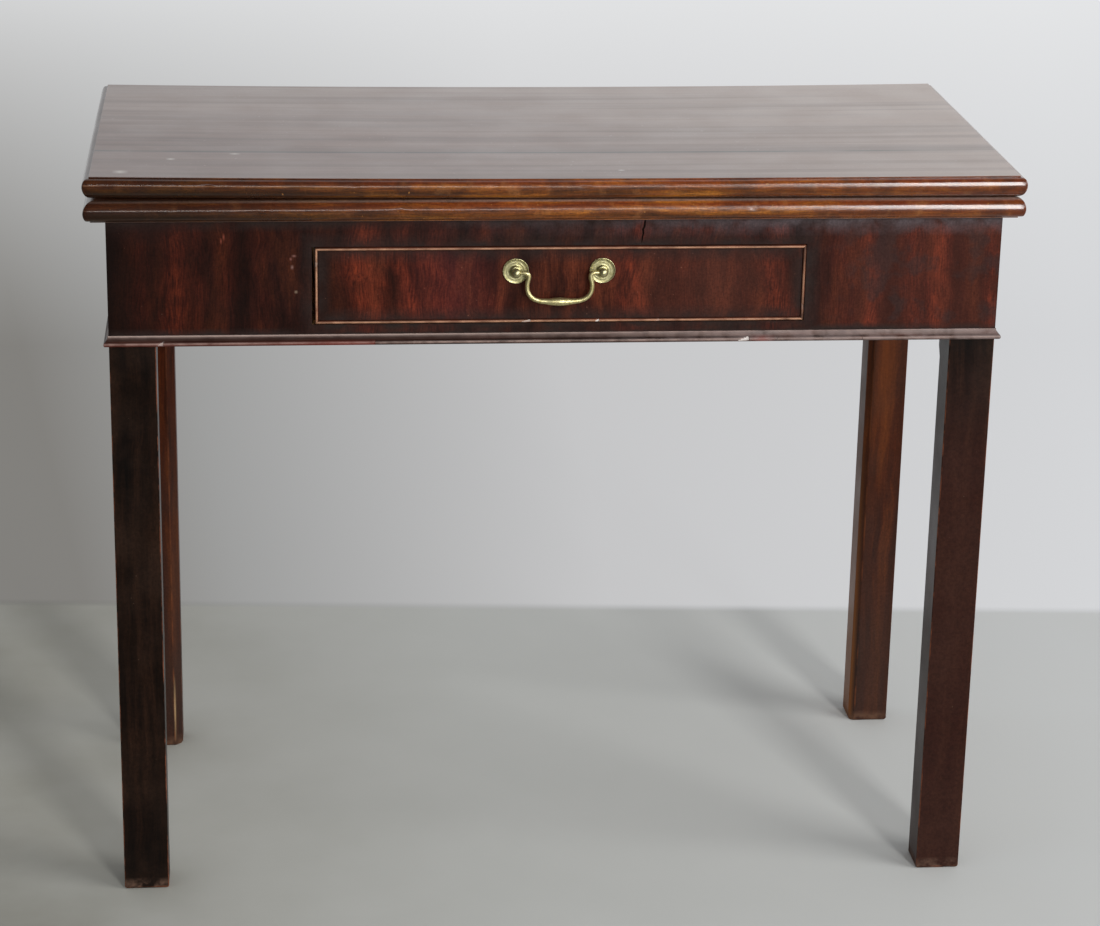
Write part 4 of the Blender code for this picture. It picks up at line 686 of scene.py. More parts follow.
def baked(obj):
    """Apply the object's modifiers and turns to its mesh."""
    seen = obj.evaluated_get(bpy.context.evaluated_depsgraph_get())
    mesh = bpy.data.meshes.new_from_object(seen)
    mesh.transform(obj.matrix_world)
    obj.modifiers.clear()
    obj.matrix_world = Matrix.Identity(4)
    obj.data = mesh
    return obj


def mark(obj, name, domain, values):
    """Write one number on each point or face for the materials to read."""
    written = obj.data.attributes.new(name, "FLOAT", domain)
    for item, value in zip(written.data, values):
        item.value = value


def shade(obj, degrees=35):
    """Smooth faces between sharp arrises; a face over 1 square cm was planed, so it stays flat."""
    obj.data.shade_smooth()
    obj.data.set_sharp_from_angle(angle=math.radians(degrees))
    for face in obj.data.polygons:
        if face.area > PLANED_AREA:
            face.use_smooth = False
    return obj


def settle(obj, body, slot, *nodes):
    """Say which body a piece rides on, and which packed pieces it stands for; slot is not used."""
    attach(obj, body)
    if nodes:
        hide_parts(*nodes)
    made_pieces.append(obj.name)
    return obj


def carve(obj, *tools):
    """Take tools away from a solid; the tools are gone afterwards."""
    for tool in tools:
        change = obj.modifiers.new(tool.name, "BOOLEAN")
        change.operation, change.solver, change.object = "DIFFERENCE", "EXACT", tool
        if tool.data.materials:
            change.material_mode = "TRANSFER"
    baked(obj)
    for tool in tools:
        bpy.data.objects.remove(tool, do_unlink=True)
    return obj


print("a planed face is over", round(PLANED_AREA * 1e4, 2), "square cm")

# %% Blocks, skins, turned pieces and eased boards
def block(name, low, high):
    mesh_data = bmesh.new()
    middle, size = (Vector(low) + Vector(high)) / 2, Vector(high) - Vector(low)
    bmesh.ops.create_cube(mesh_data, size=1.0, matrix=Matrix.Translation(middle)
                          @ Matrix.Diagonal((*size, 1.0)))
    return solid(name, mesh_data)


def skin(name, rings, materials=(), closed=False, index=lambda ring: 0):
    """Bridge rings of equally many points; index gives a face's material from its ring."""
    mesh_data = bmesh.new()
    loops = [[mesh_data.verts.new(p) for p in ring] for ring in rings]
    pairs = list(zip(loops, loops[1:])) + ([(loops[-1], loops[0])] if closed else [])
    for number, (first, second) in enumerate(pairs):
        for i in range(len(first)):
            j = (i + 1) % len(first)
            face = mesh_data.faces.new((first[i], first[j], second[j], second[i]))
            face.material_index = index(number)
    if not closed:
        mesh_data.faces.new(loops[0]).material_index = index(-1)
        mesh_data.faces.new(loops[-1]).material_index = index(len(pairs))
    return solid(name, mesh_data, *materials)


def around(axis, radius, sides, along=0.0):
    """A ring of points about an axis through the origin."""
    spin = Vector(axis).to_track_quat("Z", "Y").to_matrix()
    return [spin @ Vector((radius * math.cos(a), radius * math.sin(a), along))
            for a in (math.tau * (i + 0.5) / sides for i in range(sides))]


def turned(name, centre, axis, profile_mm, sides, material, closed=False):
    """Spin a profile of (radius, along) about an axis through centre."""
    rings = [[Vector(centre) + p for p in around(axis, r * MM, sides, t * MM)]
             for r, t in profile_mm]
    return skin(name, rings, [material], closed)


def rod(name, start, end, radius, sides):
    start, end = Vector(start), Vector(end)
    ring = around(end - start, radius, sides)
    return skin(name, [[start + p for p in ring], [end + p for p in ring]])


def eased(node, name, ease_mm, material, slot, body):
    """A copy of a packed piece with its arrises eased and marked worn."""
    obj = packed_copy(node, name, material)
    bevel = obj.modifiers.new("eased arrises", "BEVEL")
    bevel.width, bevel.segments, bevel.limit_method = ease_mm * MM, 2, "ANGLE"
    bevel.angle_limit, bevel.miter_outer = math.radians(25), "MITER_ARC"
    bevel.material, bevel.use_clamp_overlap = 1, True
    obj.data.materials.append(material)
    baked(obj)
    mark(obj, "worn", "FACE", [float(face.material_index) for face in obj.data.polygons])
    for face in obj.data.polygons:
        face.material_index = 0
    obj.data.materials.pop(index=1)
    return settle(shade(obj, 40), body, slot, node)


print("shape helpers ready")

# %% [markdown]
# ## The two leaves
# Each leaf is one board with a thumb moulding on three sides. Its section could be extruded
# and mitred. Here rings of points run round the leaf, one for each step of the section, so
# the nose can be uneven with wear and dented, as two hundred years of chairs have left it.

# %% Leaf section
LEAF_MM = 20.6
RISE_MM, PLAY_RUN_MM, SHOW_RUN_MM = 11.2, 9.5, 5.4
FILLET_RISE_MM, FILLET_RUN_MM, FILLET_FALL_MM, FILLET_ARRIS_MM = 1.6, 1.3, 0.3, 0.25
SECTION_STEPS = 14
PLAY_POWER, SHOW_POWER = 1.9, 2.1     # 2 is an ellipse, more is blunter


def leaf_section():
    """(run in from the outer line, rise from the playing face) in mm."""
    turns = [math.pi / 2 * i / SECTION_STEPS for i in range(SECTION_STEPS + 1)]
    play, show, show_rise = 2 / PLAY_POWER, 2 / SHOW_POWER, LEAF_MM - FILLET_RISE_MM - RISE_MM
    points = [(PLAY_RUN_MM * (1 - math.sin(a) ** play),
               RISE_MM * (1 - max(math.cos(a), 0) ** play)) for a in turns]
    points += [(SHOW_RUN_MM * (1 - max(math.cos(a), 0) ** show),
                RISE_MM + show_rise * math.sin(a) ** show) for a in turns[1:]]
    run = SHOW_RUN_MM + FILLET_RUN_MM
    return points + [(run, LEAF_MM - FILLET_RISE_MM + FILLET_FALL_MM),
                     (run, LEAF_MM - FILLET_ARRIS_MM), (run + FILLET_ARRIS_MM, LEAF_MM)]


print("section points:", len(leaf_section()))

# %% Leaf outline
CORNER_MM, SHARPEST_CORNER_MM, CORNER_STEPS = 2.6, 0.05, 6
OUTLINE_STEP = 5 * MM


def leaf_outline(low, high, run):
    """Points and outward directions round the left end, the front, the right end and the back."""
    corner = max(CORNER_MM * MM - run, SHARPEST_CORNER_MM * MM)
    x0, x1, y0, y1 = low.x + run, high.x - run, low.y + run, high.y
    ends, fronts = (int(size / OUTLINE_STEP) for size in (high.y - low.y, high.x - low.x))
    points = [(Vector((x0, y1 + (y0 + corner - y1) * i / ends, 0)), -X) for i in range(ends + 1)]
    for side, middle_x in ((-1, x0 + corner), (1, x1 - corner)):
        for i in range(1, CORNER_STEPS):
            a = math.pi / 2 * i / CORNER_STEPS
            out = Vector((-math.cos(a), -math.sin(a), 0) if side < 0
                         else (math.sin(a), -math.cos(a), 0))
            points.append((Vector((middle_x, y0 + corner, 0)) + out * corner, out))
        if side < 0:
            points += [(Vector((x0 + corner + (x1 - x0 - 2 * corner) * i / fronts, y0, 0)), -Y)
                       for i in range(fronts + 1)]
    points += [(Vector((x1, y0 + corner + (y1 - y0 - corner) * i / ends, 0)), X)
               for i in range(ends + 1)]
    return points + [(Vector((x1 + (x0 - x1) * i / fronts, y1, 0)), None) for i in range(1, fronts)]


print("outline points:", len(leaf_outline(*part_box("flap_leaf"), 0.0)))

# %% [markdown]
# Wear on a nose is shallow: long swells of a few tenths of a millimetre and a few dents. Both
# push the surface in, never out, so the leaf keeps its size.

# %% Wear of the noses
SWELL_MM, FINE_MM = 0.24, 0.06
UNWORN_MM, FULLY_WORN_MM = 0.2, 3     # how far within the nose the wear starts and is full
# (leaf, across in mm, rise in mm, radius in mm, depth in mm) of dents on the front noses
DENTS = ((1, -333, 13, 3, 0.9), (1, -196, 15, 4, 0.7), (1, -62, 14, 5, 0.6), (1, 23, 12, 3, 0.8),
         (1, 101, 16, 3, 0.6), (1, 236, 16, 2, 0.4), (1, 398, 6, 3, 0.5), (-1, -289, 12, 4, 0.9),
         (-1, -268, 14, 3, 0.7), (-1, -154, 10, 5, 0.8), (-1, -20, 12, 4, 0.6),
         (-1, 84, 13, 4, 0.8), (-1, 188, 10, 3, 0.6), (-1, 322, 15, 3, 0.4))


def ripple(*place):
    """Smooth noise from 0 to 1."""
    return noise.noise(Vector(place)) * 0.5 + 0.5


def nose_wear(way, place, rise_mm):
    """How far, in metres, the nose is worn in at a place."""
    inside = min(rise_mm, LEAF_MM - FILLET_RISE_MM - rise_mm)
    if inside <= UNWORN_MM:
        return 0.0
    swell = ripple(place.x * 16, place.y * 16, rise_mm * 0.06 + way * 7)
    fine = ripple(place.x * 90, place.y * 90, rise_mm * 0.3 + way * 3)
    depth = SWELL_MM * swell + FINE_MM * fine
    for leaf, x, rise, radius, deep in DENTS:
        if leaf == way and place.y < 0:
            off = math.hypot(place.x * 1000 - x, rise_mm - rise) / radius
            depth = max(depth, deep * max(0.0, 1 - off * off))
    return depth * min(1.0, inside / FULLY_WORN_MM) * MM


def make_leaf(name, node, way):
    """A leaf whose playing face looks down (way 1) or up (way -1)."""
    low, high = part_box(node)
    play_z = low.z if way > 0 else high.z
    rings = []
    for run, rise in leaf_section():
        ring = []
        for place, out in leaf_outline(low, high, run * MM):
            point = place - out * nose_wear(way, place, rise) if out else place.copy()
            point.z = play_z + way * rise * MM
            ring.append(point)
        rings.append(ring)
    shown = len(rings) - 2
    return skin(name, rings, [rubbed_edge, polished_top, playing_face],
                index=lambda ring: 2 if ring < 0 else int(ring >= shown))


flap_top = make_leaf("flap_top", "flap_leaf", 1)
fixed_top = make_leaf("fixed_top", "fixed_leaf", -1)
print("leaf vertices:", len(flap_top.data.vertices))

# %% [markdown]
# The playing faces have a shallow bed for the baize, seats for the hinges and a groove for
# their knuckles. The fixed leaf also has the holes of four screws. All are cut with solids
# that take their places from the packed pieces they make room for. The upper leaf has warped
# with age, so its points are moved once it is cut.

# %% How the upper leaf has moved with age
HINGE_Y, FRONT_REACH = 0.2148, 0.43
RISEN_MM, RISE_STARTS_X, RISE_REACH, RISE_POWER = 2.5, 0.04, 0.48, 1.7
SUNK_BACK_MM, SUNK_LESS_AT_FRONT_MM, SUNK_HALF = 3.2, 2.2, 0.44
CUTS, CUT_EVERY = 29, 0.015
CREST_ABOVE_MM = {1: 2.3, -1: 3.0}
CREST_HALF_MM = 1.2


def age(place, rise_mm):
    """The upper leaf's left end has risen, and its upper face has sunk along the middle."""
    forward = (HINGE_Y - place.y) / FRONT_REACH
    leftward = min(max((RISE_STARTS_X - place.x) / RISE_REACH, 0.0), 1.0)
    risen = RISEN_MM * forward * leftward ** RISE_POWER
    sunk = ((SUNK_BACK_MM - SUNK_LESS_AT_FRONT_MM * forward)
            * max(0.0, 1 - (place.x / SUNK_HALF) ** 2) * rise_mm / LEAF_MM)
    return (risen - sunk) * MM


def mark_crest(leaf, play_z, way):
    """Write on each point how near it is to the line, just above where the nose sticks out
    furthest, that hands and cloths rub most and where a painted highlight is drawn."""
    crest_z = play_z + way * RISE_MM * MM + CREST_ABOVE_MM[way] * MM
    mark(leaf, "crest", "POINT", [max(0.0, 1 - abs(vertex.co.z - crest_z) / MM / CREST_HALF_MM)
                                  for vertex in leaf.data.vertices])


def age_leaf(leaf, play_z):
    """Cut the leaf across every 15 mm so that it can bend, then move its points."""
    mesh_data = bmesh.new()
    mesh_data.from_mesh(leaf.data)
    for i in range(-CUTS, CUTS + 1):
        everything = mesh_data.verts[:] + mesh_data.edges[:] + mesh_data.faces[:]
        bmesh.ops.bisect_plane(mesh_data, geom=everything, plane_co=(i * CUT_EVERY, 0, 0),
                               plane_no=X, dist=0.02 * MM)
    for vertex in mesh_data.verts:
        vertex.co.z += age(vertex.co, (vertex.co.z - play_z) / MM)
    mesh_data.to_mesh(leaf.data)
    mesh_data.free()


print("upper leaf's left end up by", round(age(Vector((-0.44, -0.21, 0)), 0) / MM, 1), "mm")

# %% Beds, hinge seats and grooves
SEAT, THROUGH = 0.3 * MM, 5 * MM      # a seat's clearance, and how far a cut runs past a face
PLATE_DEEP, SEAT_FRONT, SEAT_BACK = 15.2 * MM, 2.3 * MM, 10 * MM
GROOVE_HALF_MM, GROOVE_RADIUS = 30.6, 3.4 * MM
HOLE_DEEP, HOLE_RADIUS = 11.5 * MM, 2.4 * MM
SIDES = (("left", -1), ("right", 1))

for leaf, node, way in ((flap_top, "flap", 1), (fixed_top, "fixed", -1)):
    low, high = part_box(f"{node}_leaf")
    down, up = (THROUGH, PLATE_DEEP) if way > 0 else (PLATE_DEEP, THROUGH)
    clear = Vector((SEAT, SEAT, SEAT))
    bed_low, bed_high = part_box(f"baize_{node}_leaf")
    bed_low, bed_high = bed_low - clear, bed_high + clear
    if way > 0:
        bed_low.z -= THROUGH
    else:
        bed_high.z += THROUGH
    tools = [block(f"{node} bed", bed_low, bed_high)]
    for side, _ in SIDES:
        plate_low, plate_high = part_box(f"hinge_plate_{node}_{side}")
        pin = sum(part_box(f"hinge_pin_{side}"), Vector()) / 2
        tools += [block(f"{node} {side} seat",
                        (plate_low.x - SEAT, pin.y - SEAT_FRONT, pin.z - down),
                        (plate_high.x + SEAT, pin.y + SEAT_BACK, pin.z + up)),
                  rod(f"{node} {side} groove", pin - X * GROOVE_HALF_MM * MM,
                      pin + X * GROOVE_HALF_MM * MM, GROOVE_RADIUS, 32)]
    for side, number in (("left", 1), ("left", 2), ("right", 1), ("right", 2)) if way < 0 else ():
        middle = sum(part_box(f"top_screw_{side}_{number}"), Vector()) / 2
        tools.append(rod(f"hole {side} {number}", (middle.x, middle.y, low.z - THROUGH),
                         (middle.x, middle.y, low.z + HOLE_DEEP), HOLE_RADIUS, 16))
    carve(leaf, *tools)
    mark_crest(leaf, low.z if way > 0 else high.z, way)
    if way > 0:
        age_leaf(leaf, low.z)
    shade(leaf, 40)
settle(flap_top, "flap", "top_mahogany", "flap_leaf")
settle(fixed_top, "frame", "top_mahogany", "fixed_leaf")
print("leaves cut:", len(flap_top.data.polygons), len(fixed_top.data.polygons), "faces")

# %% [markdown]
# ## Baize sheets
# Each bed holds one rectangle of baize, glued down. It is laid cloth, and its nap makes the
# surface very slightly uneven.

# %% Baize sheets
CELLS_X, CELLS_Y = 100, 46
NAP_DEEP_MM = 0.06


def make_baize(name, node, way):
    low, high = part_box(node)
    mesh_data = bmesh.new()
    rows = {}
    for level, z in ((0, low.z), (1, high.z)):
        for j in range(CELLS_Y + 1):
            for i in range(CELLS_X + 1):
                x = low.x + (high.x - low.x) * i / CELLS_X
                y = low.y + (high.y - low.y) * j / CELLS_Y
                lift = 0.0
                if (level == 0) == (way > 0):
                    lift = -NAP_DEEP_MM * MM * (noise.noise(Vector((x * 30, y * 30, way))) + 1) / 2
                if way > 0:
                    lift -= age(Vector((x, y, 0)), 0.0)
                rows[level, i, j] = mesh_data.verts.new((x, y, z - way * lift))
    for level in (0, 1):
        for j in range(CELLS_Y):
            for i in range(CELLS_X):
                mesh_data.faces.new([rows[level, a, b] for a, b in
                                     ((i, j), (i + 1, j), (i + 1, j + 1), (i, j + 1))])
    rim = ([(i, 0) for i in range(CELLS_X)] + [(CELLS_X, j) for j in range(CELLS_Y)]
           + [(i, CELLS_Y) for i in range(CELLS_X, 0, -1)]
           + [(0, j) for j in range(CELLS_Y, 0, -1)])
    for (a, b), (c, d) in zip(rim, rim[1:] + rim[:1]):
        mesh_data.faces.new([rows[0, a, b], rows[0, c, d], rows[1, c, d], rows[1, a, b]])
    obj = shade(solid(name, mesh_data, green_baize), 50)
    settle(obj, "flap" if way > 0 else "frame", "green_baize", node)


make_baize("baize_on_flap", "baize_flap_leaf", 1)
make_baize("baize_on_fixed_leaf", "baize_fixed_leaf", -1)

# %% [markdown]
# ## Legs, rails and the rest of the carcase
# These are planed boards, so the packed shapes are right; what they lack is eased arrises and
# a finish. A table says which pieces get which: the ease, the wood, the slot and the body.

# %% Eased boards
EASED = (
    (1.0, dark_leg, "leg_mahogany", "frame", "front_leg_left front_leg_right"),
    (1.0, gate_leg_wood, "gate_mahogany", "frame", "rear_leg_left"),
    (1.0, gate_leg_wood, "gate_mahogany", "gate", "gate_leg"),
    (0.6, fly_wood, "gate_mahogany", "gate", "fly_rail_gate"),
    (0.6, fly_wood, "gate_mahogany", "frame", "fly_rail_fixed"),
    (0.3, veneer_ends, "frieze_veneer", "frame", "side_veneer_left side_veneer_right"),
    (0.3, veneer_drawer, "frieze_veneer", "drawer", "drawer_front"),
    (0.5, pine_along, "carcase_pine", "frame",
     "front_bottom_rail front_top_rail back_rail front_panel_left front_panel_right"),
    (0.5, pine_deep, "carcase_pine", "frame", "side_rail_left side_rail_right"),
    (0.6, pine_deep, "carcase_pine", "frame", "drawer_runner_left drawer_runner_right"),
    (0.5, pine_deep, "carcase_pine", "frame", "drawer_kicker_left drawer_kicker_right"),
    (0.4, pine_along, "carcase_pine", "frame", "drawer_stop_left drawer_stop_right"),
    (0.8, pine_deep, "carcase_pine", "frame", "glue_block_left glue_block_right"),
    (0.4, oak_deep, "drawer_oak", "drawer", "drawer_side_left drawer_side_right"),
    (0.4, oak_along, "drawer_oak", "drawer", "drawer_back drawer_bottom"),
)
for ease_mm, material, slot, body, pieces in EASED:
    for node in pieces.split():
        eased(node, node + "_eased", ease_mm, material, slot, body)
print("kinds of eased board:", len(EASED))

# %% [markdown]
# ## Front veneer with its split
# The front veneer is one sheet with the drawer opening cut in it. Above the opening, right of
# the middle, shrinkage has split it along the grain. The split is cut as a thin crooked wedge.

# %% Front veneer
# (drop below the top edge in mm, place across in mm, half width in mm) down the split
SPLIT = ((-1, 81.9, 0.7), (3, 81.3, 0.8), (7, 80.9, 1.0), (10, 79.6, 1.15), (14, 80.2, 0.9),
         (18, 79.2, 0.7), (23, 78.8, 0.35))
SPLIT_DEPTH_MM = 1.3
split_dirt = Finish("dirt_in_the_split", "#0c0605", Roughness=0.95, Specular_IOR_Level=0.1)
split_dirt.stain("#1d110c", split_dirt.blotches(1.5, 0.4, 0.6))

rings = []
for y in (front_low.y - 2 * MM, front_low.y + SPLIT_DEPTH_MM * MM):
    left_lip, right_lip = ([Vector(((x + side * wide) * MM, y, front_high.z - drop * MM))
                            for drop, x, wide in SPLIT] for side in (-1, 1))
    rings.append(left_lip + right_lip[::-1])
front_sheet = carve(packed_copy("front_veneer", "front_veneer_split", veneer_front),
                    skin("split", rings, [split_dirt.done()]))
settle(shade(front_sheet, 30), "frame", "frieze_veneer", "front_veneer")
print("front veneer:", len(front_sheet.data.polygons), "faces")

# %% [markdown]
# ## Moulding and cock beads
# Both are long strips of one section. Rings along the length let the rubbed crest wander and
# let chips be torn out at their real places: wood tears along its grain, so a chip runs to a
# point. The crest and the chips are written on the mesh for the material to read.

# %% Strips with chips
RING_STEP = 4 * MM
RUB_MM, RUBS_FROM = 0.3, 0.45     # how deep full wear goes, and the least wear that can chip
TEAR_STEPS, TEAR_END_MM, TEAR_CURVE = 4, 0.3, 0.6


def worn_strip(name, start, end, out, up, section, material, mitres, by, chips, seed):
    """Run a section of (out, up, wear, crest) along a line, its ends mitred by out or by up.

    A chip is (point, torn end, depth, paleness), the first three in mm."""
    start, end = Vector(start), Vector(end)
    along = (end - start).normalized()
    length = (end - start).length
    places = {i * RING_STEP for i in range(1, int(length / RING_STEP))} | {0.0, length}
    for point, torn, depth, pale in chips:
        places |= {(point + (torn - point) * k / TEAR_STEPS) * MM for k in range(TEAR_STEPS + 1)}
        places.add((torn + math.copysign(TEAR_END_MM, torn - point)) * MM)
    worn_high = max(h for p, h, wear, crest in section if wear > RUBS_FROM)
    rings, torn_here = [], []
    for at in sorted(places):
        share, ring, here_pale = at / length, [], (0.0, 0.0)
        for p, h, wear, crest in section:
            lean = (p, h)[by] * (mitres[1] * share - mitres[0] * (1 - share))
            rub = wear * RUB_MM * MM * ripple(at * 22, seed, p * 300)
            for point, torn, depth, pale in chips:
                t = (at / MM - point) / (torn - point)
                if 0 <= t <= 1.001 and wear > RUBS_FROM:
                    rub, here_pale = max(rub, depth * MM * t ** TEAR_CURVE), (pale, t)
            ring.append(start + along * (at + lean) + out * (p - rub) + up * h)
        rings.append(ring)
        torn_here.append(here_pale)
    obj = skin(name, rings, [material])
    mark(obj, "crest", "POINT", [crest for p, h, wear, crest in section] * len(rings))
    chipped = []
    for this, following in zip(torn_here, torn_here[1:]):
        pale, tall = min(this[0], following[0]), 0.25 + 0.75 * max(this[1], following[1])
        chipped += [pale if wear > RUBS_FROM and h <= worn_high * tall else 0.0
                    for p, h, wear, crest in section]
    mark(obj, "chipped", "FACE", chipped)
    return shade(obj, 40)


print("rings every", RING_STEP / MM, "mm")

# %% Cock beads
# A bead's section runs out from the drawer face and in towards the drawer's middle, so its
# mitres go by the second of these. Each starts at its left or lower end.
BEAD_MM, BEAD_PROUD_MM, BEAD_DEEP_MM, BEAD_STEPS = 3.0, 2.0, 8.0, 10
half = BEAD_MM / 2
bead_section = []
for i in range(BEAD_STEPS + 1):
    a = math.pi * i / BEAD_STEPS
    bead_section.append(((BEAD_PROUD_MM - half + half * math.sin(a)) * MM,
                         (half - half * math.cos(a)) * MM, math.sin(a), math.sin(a) ** 5))
bead_section += [(-BEAD_DEEP_MM * MM, BEAD_MM * MM, 0, 0), (-BEAD_DEEP_MM * MM, 0, 0, 0)]
BEAD_CHIPS = {"bottom": ((198, 206, 1.1, 0.35), (269.4, 272.8, 1.0, 0.75), (328, 332, 0.7, 0.1)),
              "top": ((298, 301, 0.6, 0.0),), "left": ((57, 62, 0.7, 0.1),),
              "right": ((10, 15, 1.0, 0.1),)}
for side, inward in (("left", X), ("right", -X), ("bottom", Z), ("top", -Z)):
    low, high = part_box("cock_bead_" + side)
    level, bead_wood = (Z, bead_upright) if side in ("left", "right") else (X, bead_level)
    first = Vector((high.x if inward == -X else low.x, front_low.y,
                    high.z if inward == -Z else low.z))
    last = first + level * (high - low).dot(level)
    bead = worn_strip(f"worn_bead_{side}", first, last, -Y, inward, bead_section, bead_wood,
                      (-1, -1), 1, BEAD_CHIPS[side], float(ord(side[0])))
    settle(bead, "drawer", "bead_mahogany", "cock_bead_" + side)
print("bead section points:", len(bead_section))

# %% Moulding
MOULDING_MM, REACH_MM, VENEER_MM = 10.0, 5.0, 1.5
MITRE = 0.15 * MM
# (share of the reach, share of the height, wear, crest): a bead, a quirk and a cove above it;
# crest is how pale a point is drawn, rubbed wear and painted highlight on the bead and on the
# upward-facing cove
LIP_SHARES = ((0.62, 0.00, 0, 0), (0.80, 0.02, 0.3, 0), (0.93, 0.09, 0.6, 0),
              (1.00, 0.20, 1, 0.5), (0.99, 0.29, 1, 0.9), (0.93, 0.38, 1, 0.2),
              (0.84, 0.44, 0.8, 0), (0.58, 0.48, 0.4, 0), (0.58, 0.52, 0.4, 0),
              (0.60, 0.56, 0.4, 0.2), (0.40, 0.66, 0.3, 0.38), (0.27, 0.76, 0.2, 0.38),
              (0.19, 0.86, 0, 0.35), (0.13, 1.00, 0, 0.8))
LIP_CHIPS = ((50.5, 55.5, 1.0, 0.35), (253, 254.6, 0.9, 0.0), (602.5, 613, 1.6, 1.0),
             (614, 640, 0.7, 0.0), (721.6, 722.8, 0.9, 0.0))
lip_section = [(p * REACH_MM * MM, h * MOULDING_MM * MM, w, c) for p, h, w, c in LIP_SHARES]
lip_section += [(-VENEER_MM * MM, MOULDING_MM * MM, 0, 0), (-VENEER_MM * MM, 0, 0, 0)]
foot_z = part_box("moulding_front")[0].z
frieze_x, frieze_y = front_high.x, front_low.y
back_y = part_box("moulding_left")[1].y

runs = [("front", (-frieze_x + MITRE, frieze_y, foot_z), (frieze_x - MITRE, frieze_y, foot_z), -Y,
         lip_level, (1, 1), LIP_CHIPS, 1.5)]
for side, sign in SIDES:
    runs.append((side, (sign * frieze_x, frieze_y + MITRE, foot_z),
                 (sign * frieze_x, back_y, foot_z), X * sign,
                 lip_side, (1, 0), ((147, 151, 0.9, 0.3),), 4.0 + sign))
for side, first, last, out, material, mitres, chips, seed in runs:
    strip = worn_strip(f"worn_moulding_{side}", first, last, out, Z, lip_section, material,
                       mitres, 0, chips, seed)
    settle(strip, "frame", "bead_mahogany", f"moulding_{side}")
print("moulding reach:", REACH_MM, "mm")

# %% [markdown]
# ## Brass handle
# The rosettes and posts were turned on a lathe, so a profile spun about a line is exactly how
# they were made. The bail was cast and filed: a thin stub at each end, a slender swan neck
# and a swelling where the fingers pull. A Bezier curve with a radius at each point gives that.

# %% Rosettes, posts and nuts
BAIL_Y, BAIL_Z = -0.21305, 0.6461
HANDLE_X, HALF_SPACING = -0.0002, 0.0417
# (radius, height) in mm of the rosette's turned face, from its back edge to its hole
ROSETTE_MM = ((12.3, 0.0), (12.5, 0.25), (12.5, 1.0), (12.35, 1.4), (12.1, 1.6), (11.8, 1.55),
              (11.5, 1.3), (11.0, 1.15), (9.4, 1.05), (8.9, 1.08), (8.5, 1.17), (8.1, 1.08),
              (7.6, 1.05), (6.2, 1.1), (5.6, 1.25), (5.2, 1.7), (4.9, 2.4), (4.5, 2.9), (4.0, 3.2),
              (3.1, 3.2), (3.0, 3.0), (3.0, 0.0))
HOLLOWS_MM, HOLLOW_HALF_MM = (11.2, 5.6), 0.9
BALL_MM, BALL_FROM_DEG, BALL_TURN_DEG, BALL_STEPS = 4.5, 40, 139, 14
BORE_MM, BORE_HALF_MM = 1.9, 12

for side, sign in SIDES:
    x = HANDLE_X + sign * HALF_SPACING
    rosette = turned(f"turned_rosette_{side}", (x, front_low.y - SEAT, BAIL_Z), -Y, ROSETTE_MM, 72,
                     cast_brass, closed=True)
    radii = [math.hypot(v.co.x - x, v.co.z - BAIL_Z) / MM for v in rosette.data.vertices]
    mark(rosette, "hollow", "POINT", [max(max(0.0, 1 - abs(r - at) / HOLLOW_HALF_MM)
                                          for at in HOLLOWS_MM) for r in radii])
    settle(shade(rosette, 50), "drawer", "brass", f"rosette_{side}")

    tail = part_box(f"post_{side}")[1].y / MM - BAIL_Y / MM
    profile = [(2.2, tail), (2.6, tail - 0.5), (2.6, 3.9), (2.9, 3.5)]
    for i in range(BALL_STEPS + 1):
        a = math.radians(BALL_FROM_DEG + BALL_TURN_DEG * i / BALL_STEPS)
        profile.append((BALL_MM * math.sin(a), BALL_MM * math.cos(a)))
    post = turned(f"turned_post_{side}", (x, BAIL_Y, BAIL_Z), Y, profile, 40, cast_brass)
    bore = rod("bore", (x - BORE_HALF_MM * MM, BAIL_Y, BAIL_Z),
               (x + BORE_HALF_MM * MM, BAIL_Y, BAIL_Z), BORE_MM * MM, 24)
    settle(shade(carve(post, bore), 40), "drawer", "brass", f"post_{side}")
    eased(f"post_nut_{side}", f"hexagon_nut_{side}", 0.3, hinge_brass, "brass", "drawer")
print("handle centres:", 2 * HALF_SPACING / MM, "mm")

# %% Bail
# Half of the bail: (across from the middle, drop, radius) in mm
BAIL_MM = ((41.7, 0.0, 1.5), (37.5, 0.0, 1.5), (32.9, 0.2, 2.1), (30.1, 1.7, 2.15),
           (29.85, 4.8, 2.15), (30.8, 9.1, 2.1), (31.2, 14.0, 2.1), (30.1, 19.3, 2.15),
           (26.7, 24.1, 2.2), (20.85, 27.05, 2.25), (12.9, 28.2, 2.65), (6.2, 28.5, 3.5),
           (0.0, 28.5, 3.95))
FULLNESS = 1.04     # the casting is this much fuller than the drawn radii

curve = bpy.data.curves.new("cast_bail", "CURVE")
curve.dimensions, curve.resolution_u = "3D", 10
curve.bevel_depth, curve.bevel_resolution, curve.use_fill_caps = MM, 7, True
knots = [(-x, z, r) for x, z, r in BAIL_MM] + list(BAIL_MM[-2::-1])
spline = curve.splines.new("BEZIER")
spline.bezier_points.add(len(knots) - 1)
for knot, (x, drop, radius) in zip(spline.bezier_points, knots):
    knot.co = (HANDLE_X + x * MM, BAIL_Y, BAIL_Z - drop * MM)
    knot.handle_left_type = knot.handle_right_type = "AUTO"
    knot.radius = radius * FULLNESS
curve.materials.append(handled_and_painted_bright_brass)
drawn = bpy.data.objects.new("cast_bail", curve)
bpy.context.scene.collection.objects.link(drawn)
mesh = bpy.data.meshes.new_from_object(drawn.evaluated_get(bpy.context.evaluated_depsgraph_get()))
bpy.data.objects.remove(drawn, do_unlink=True)
bail = bpy.data.objects.new("cast_bail", mesh)
bpy.context.scene.collection.objects.link(bail)
settle(shade(bail, 60), "bail", "brass", "bail")
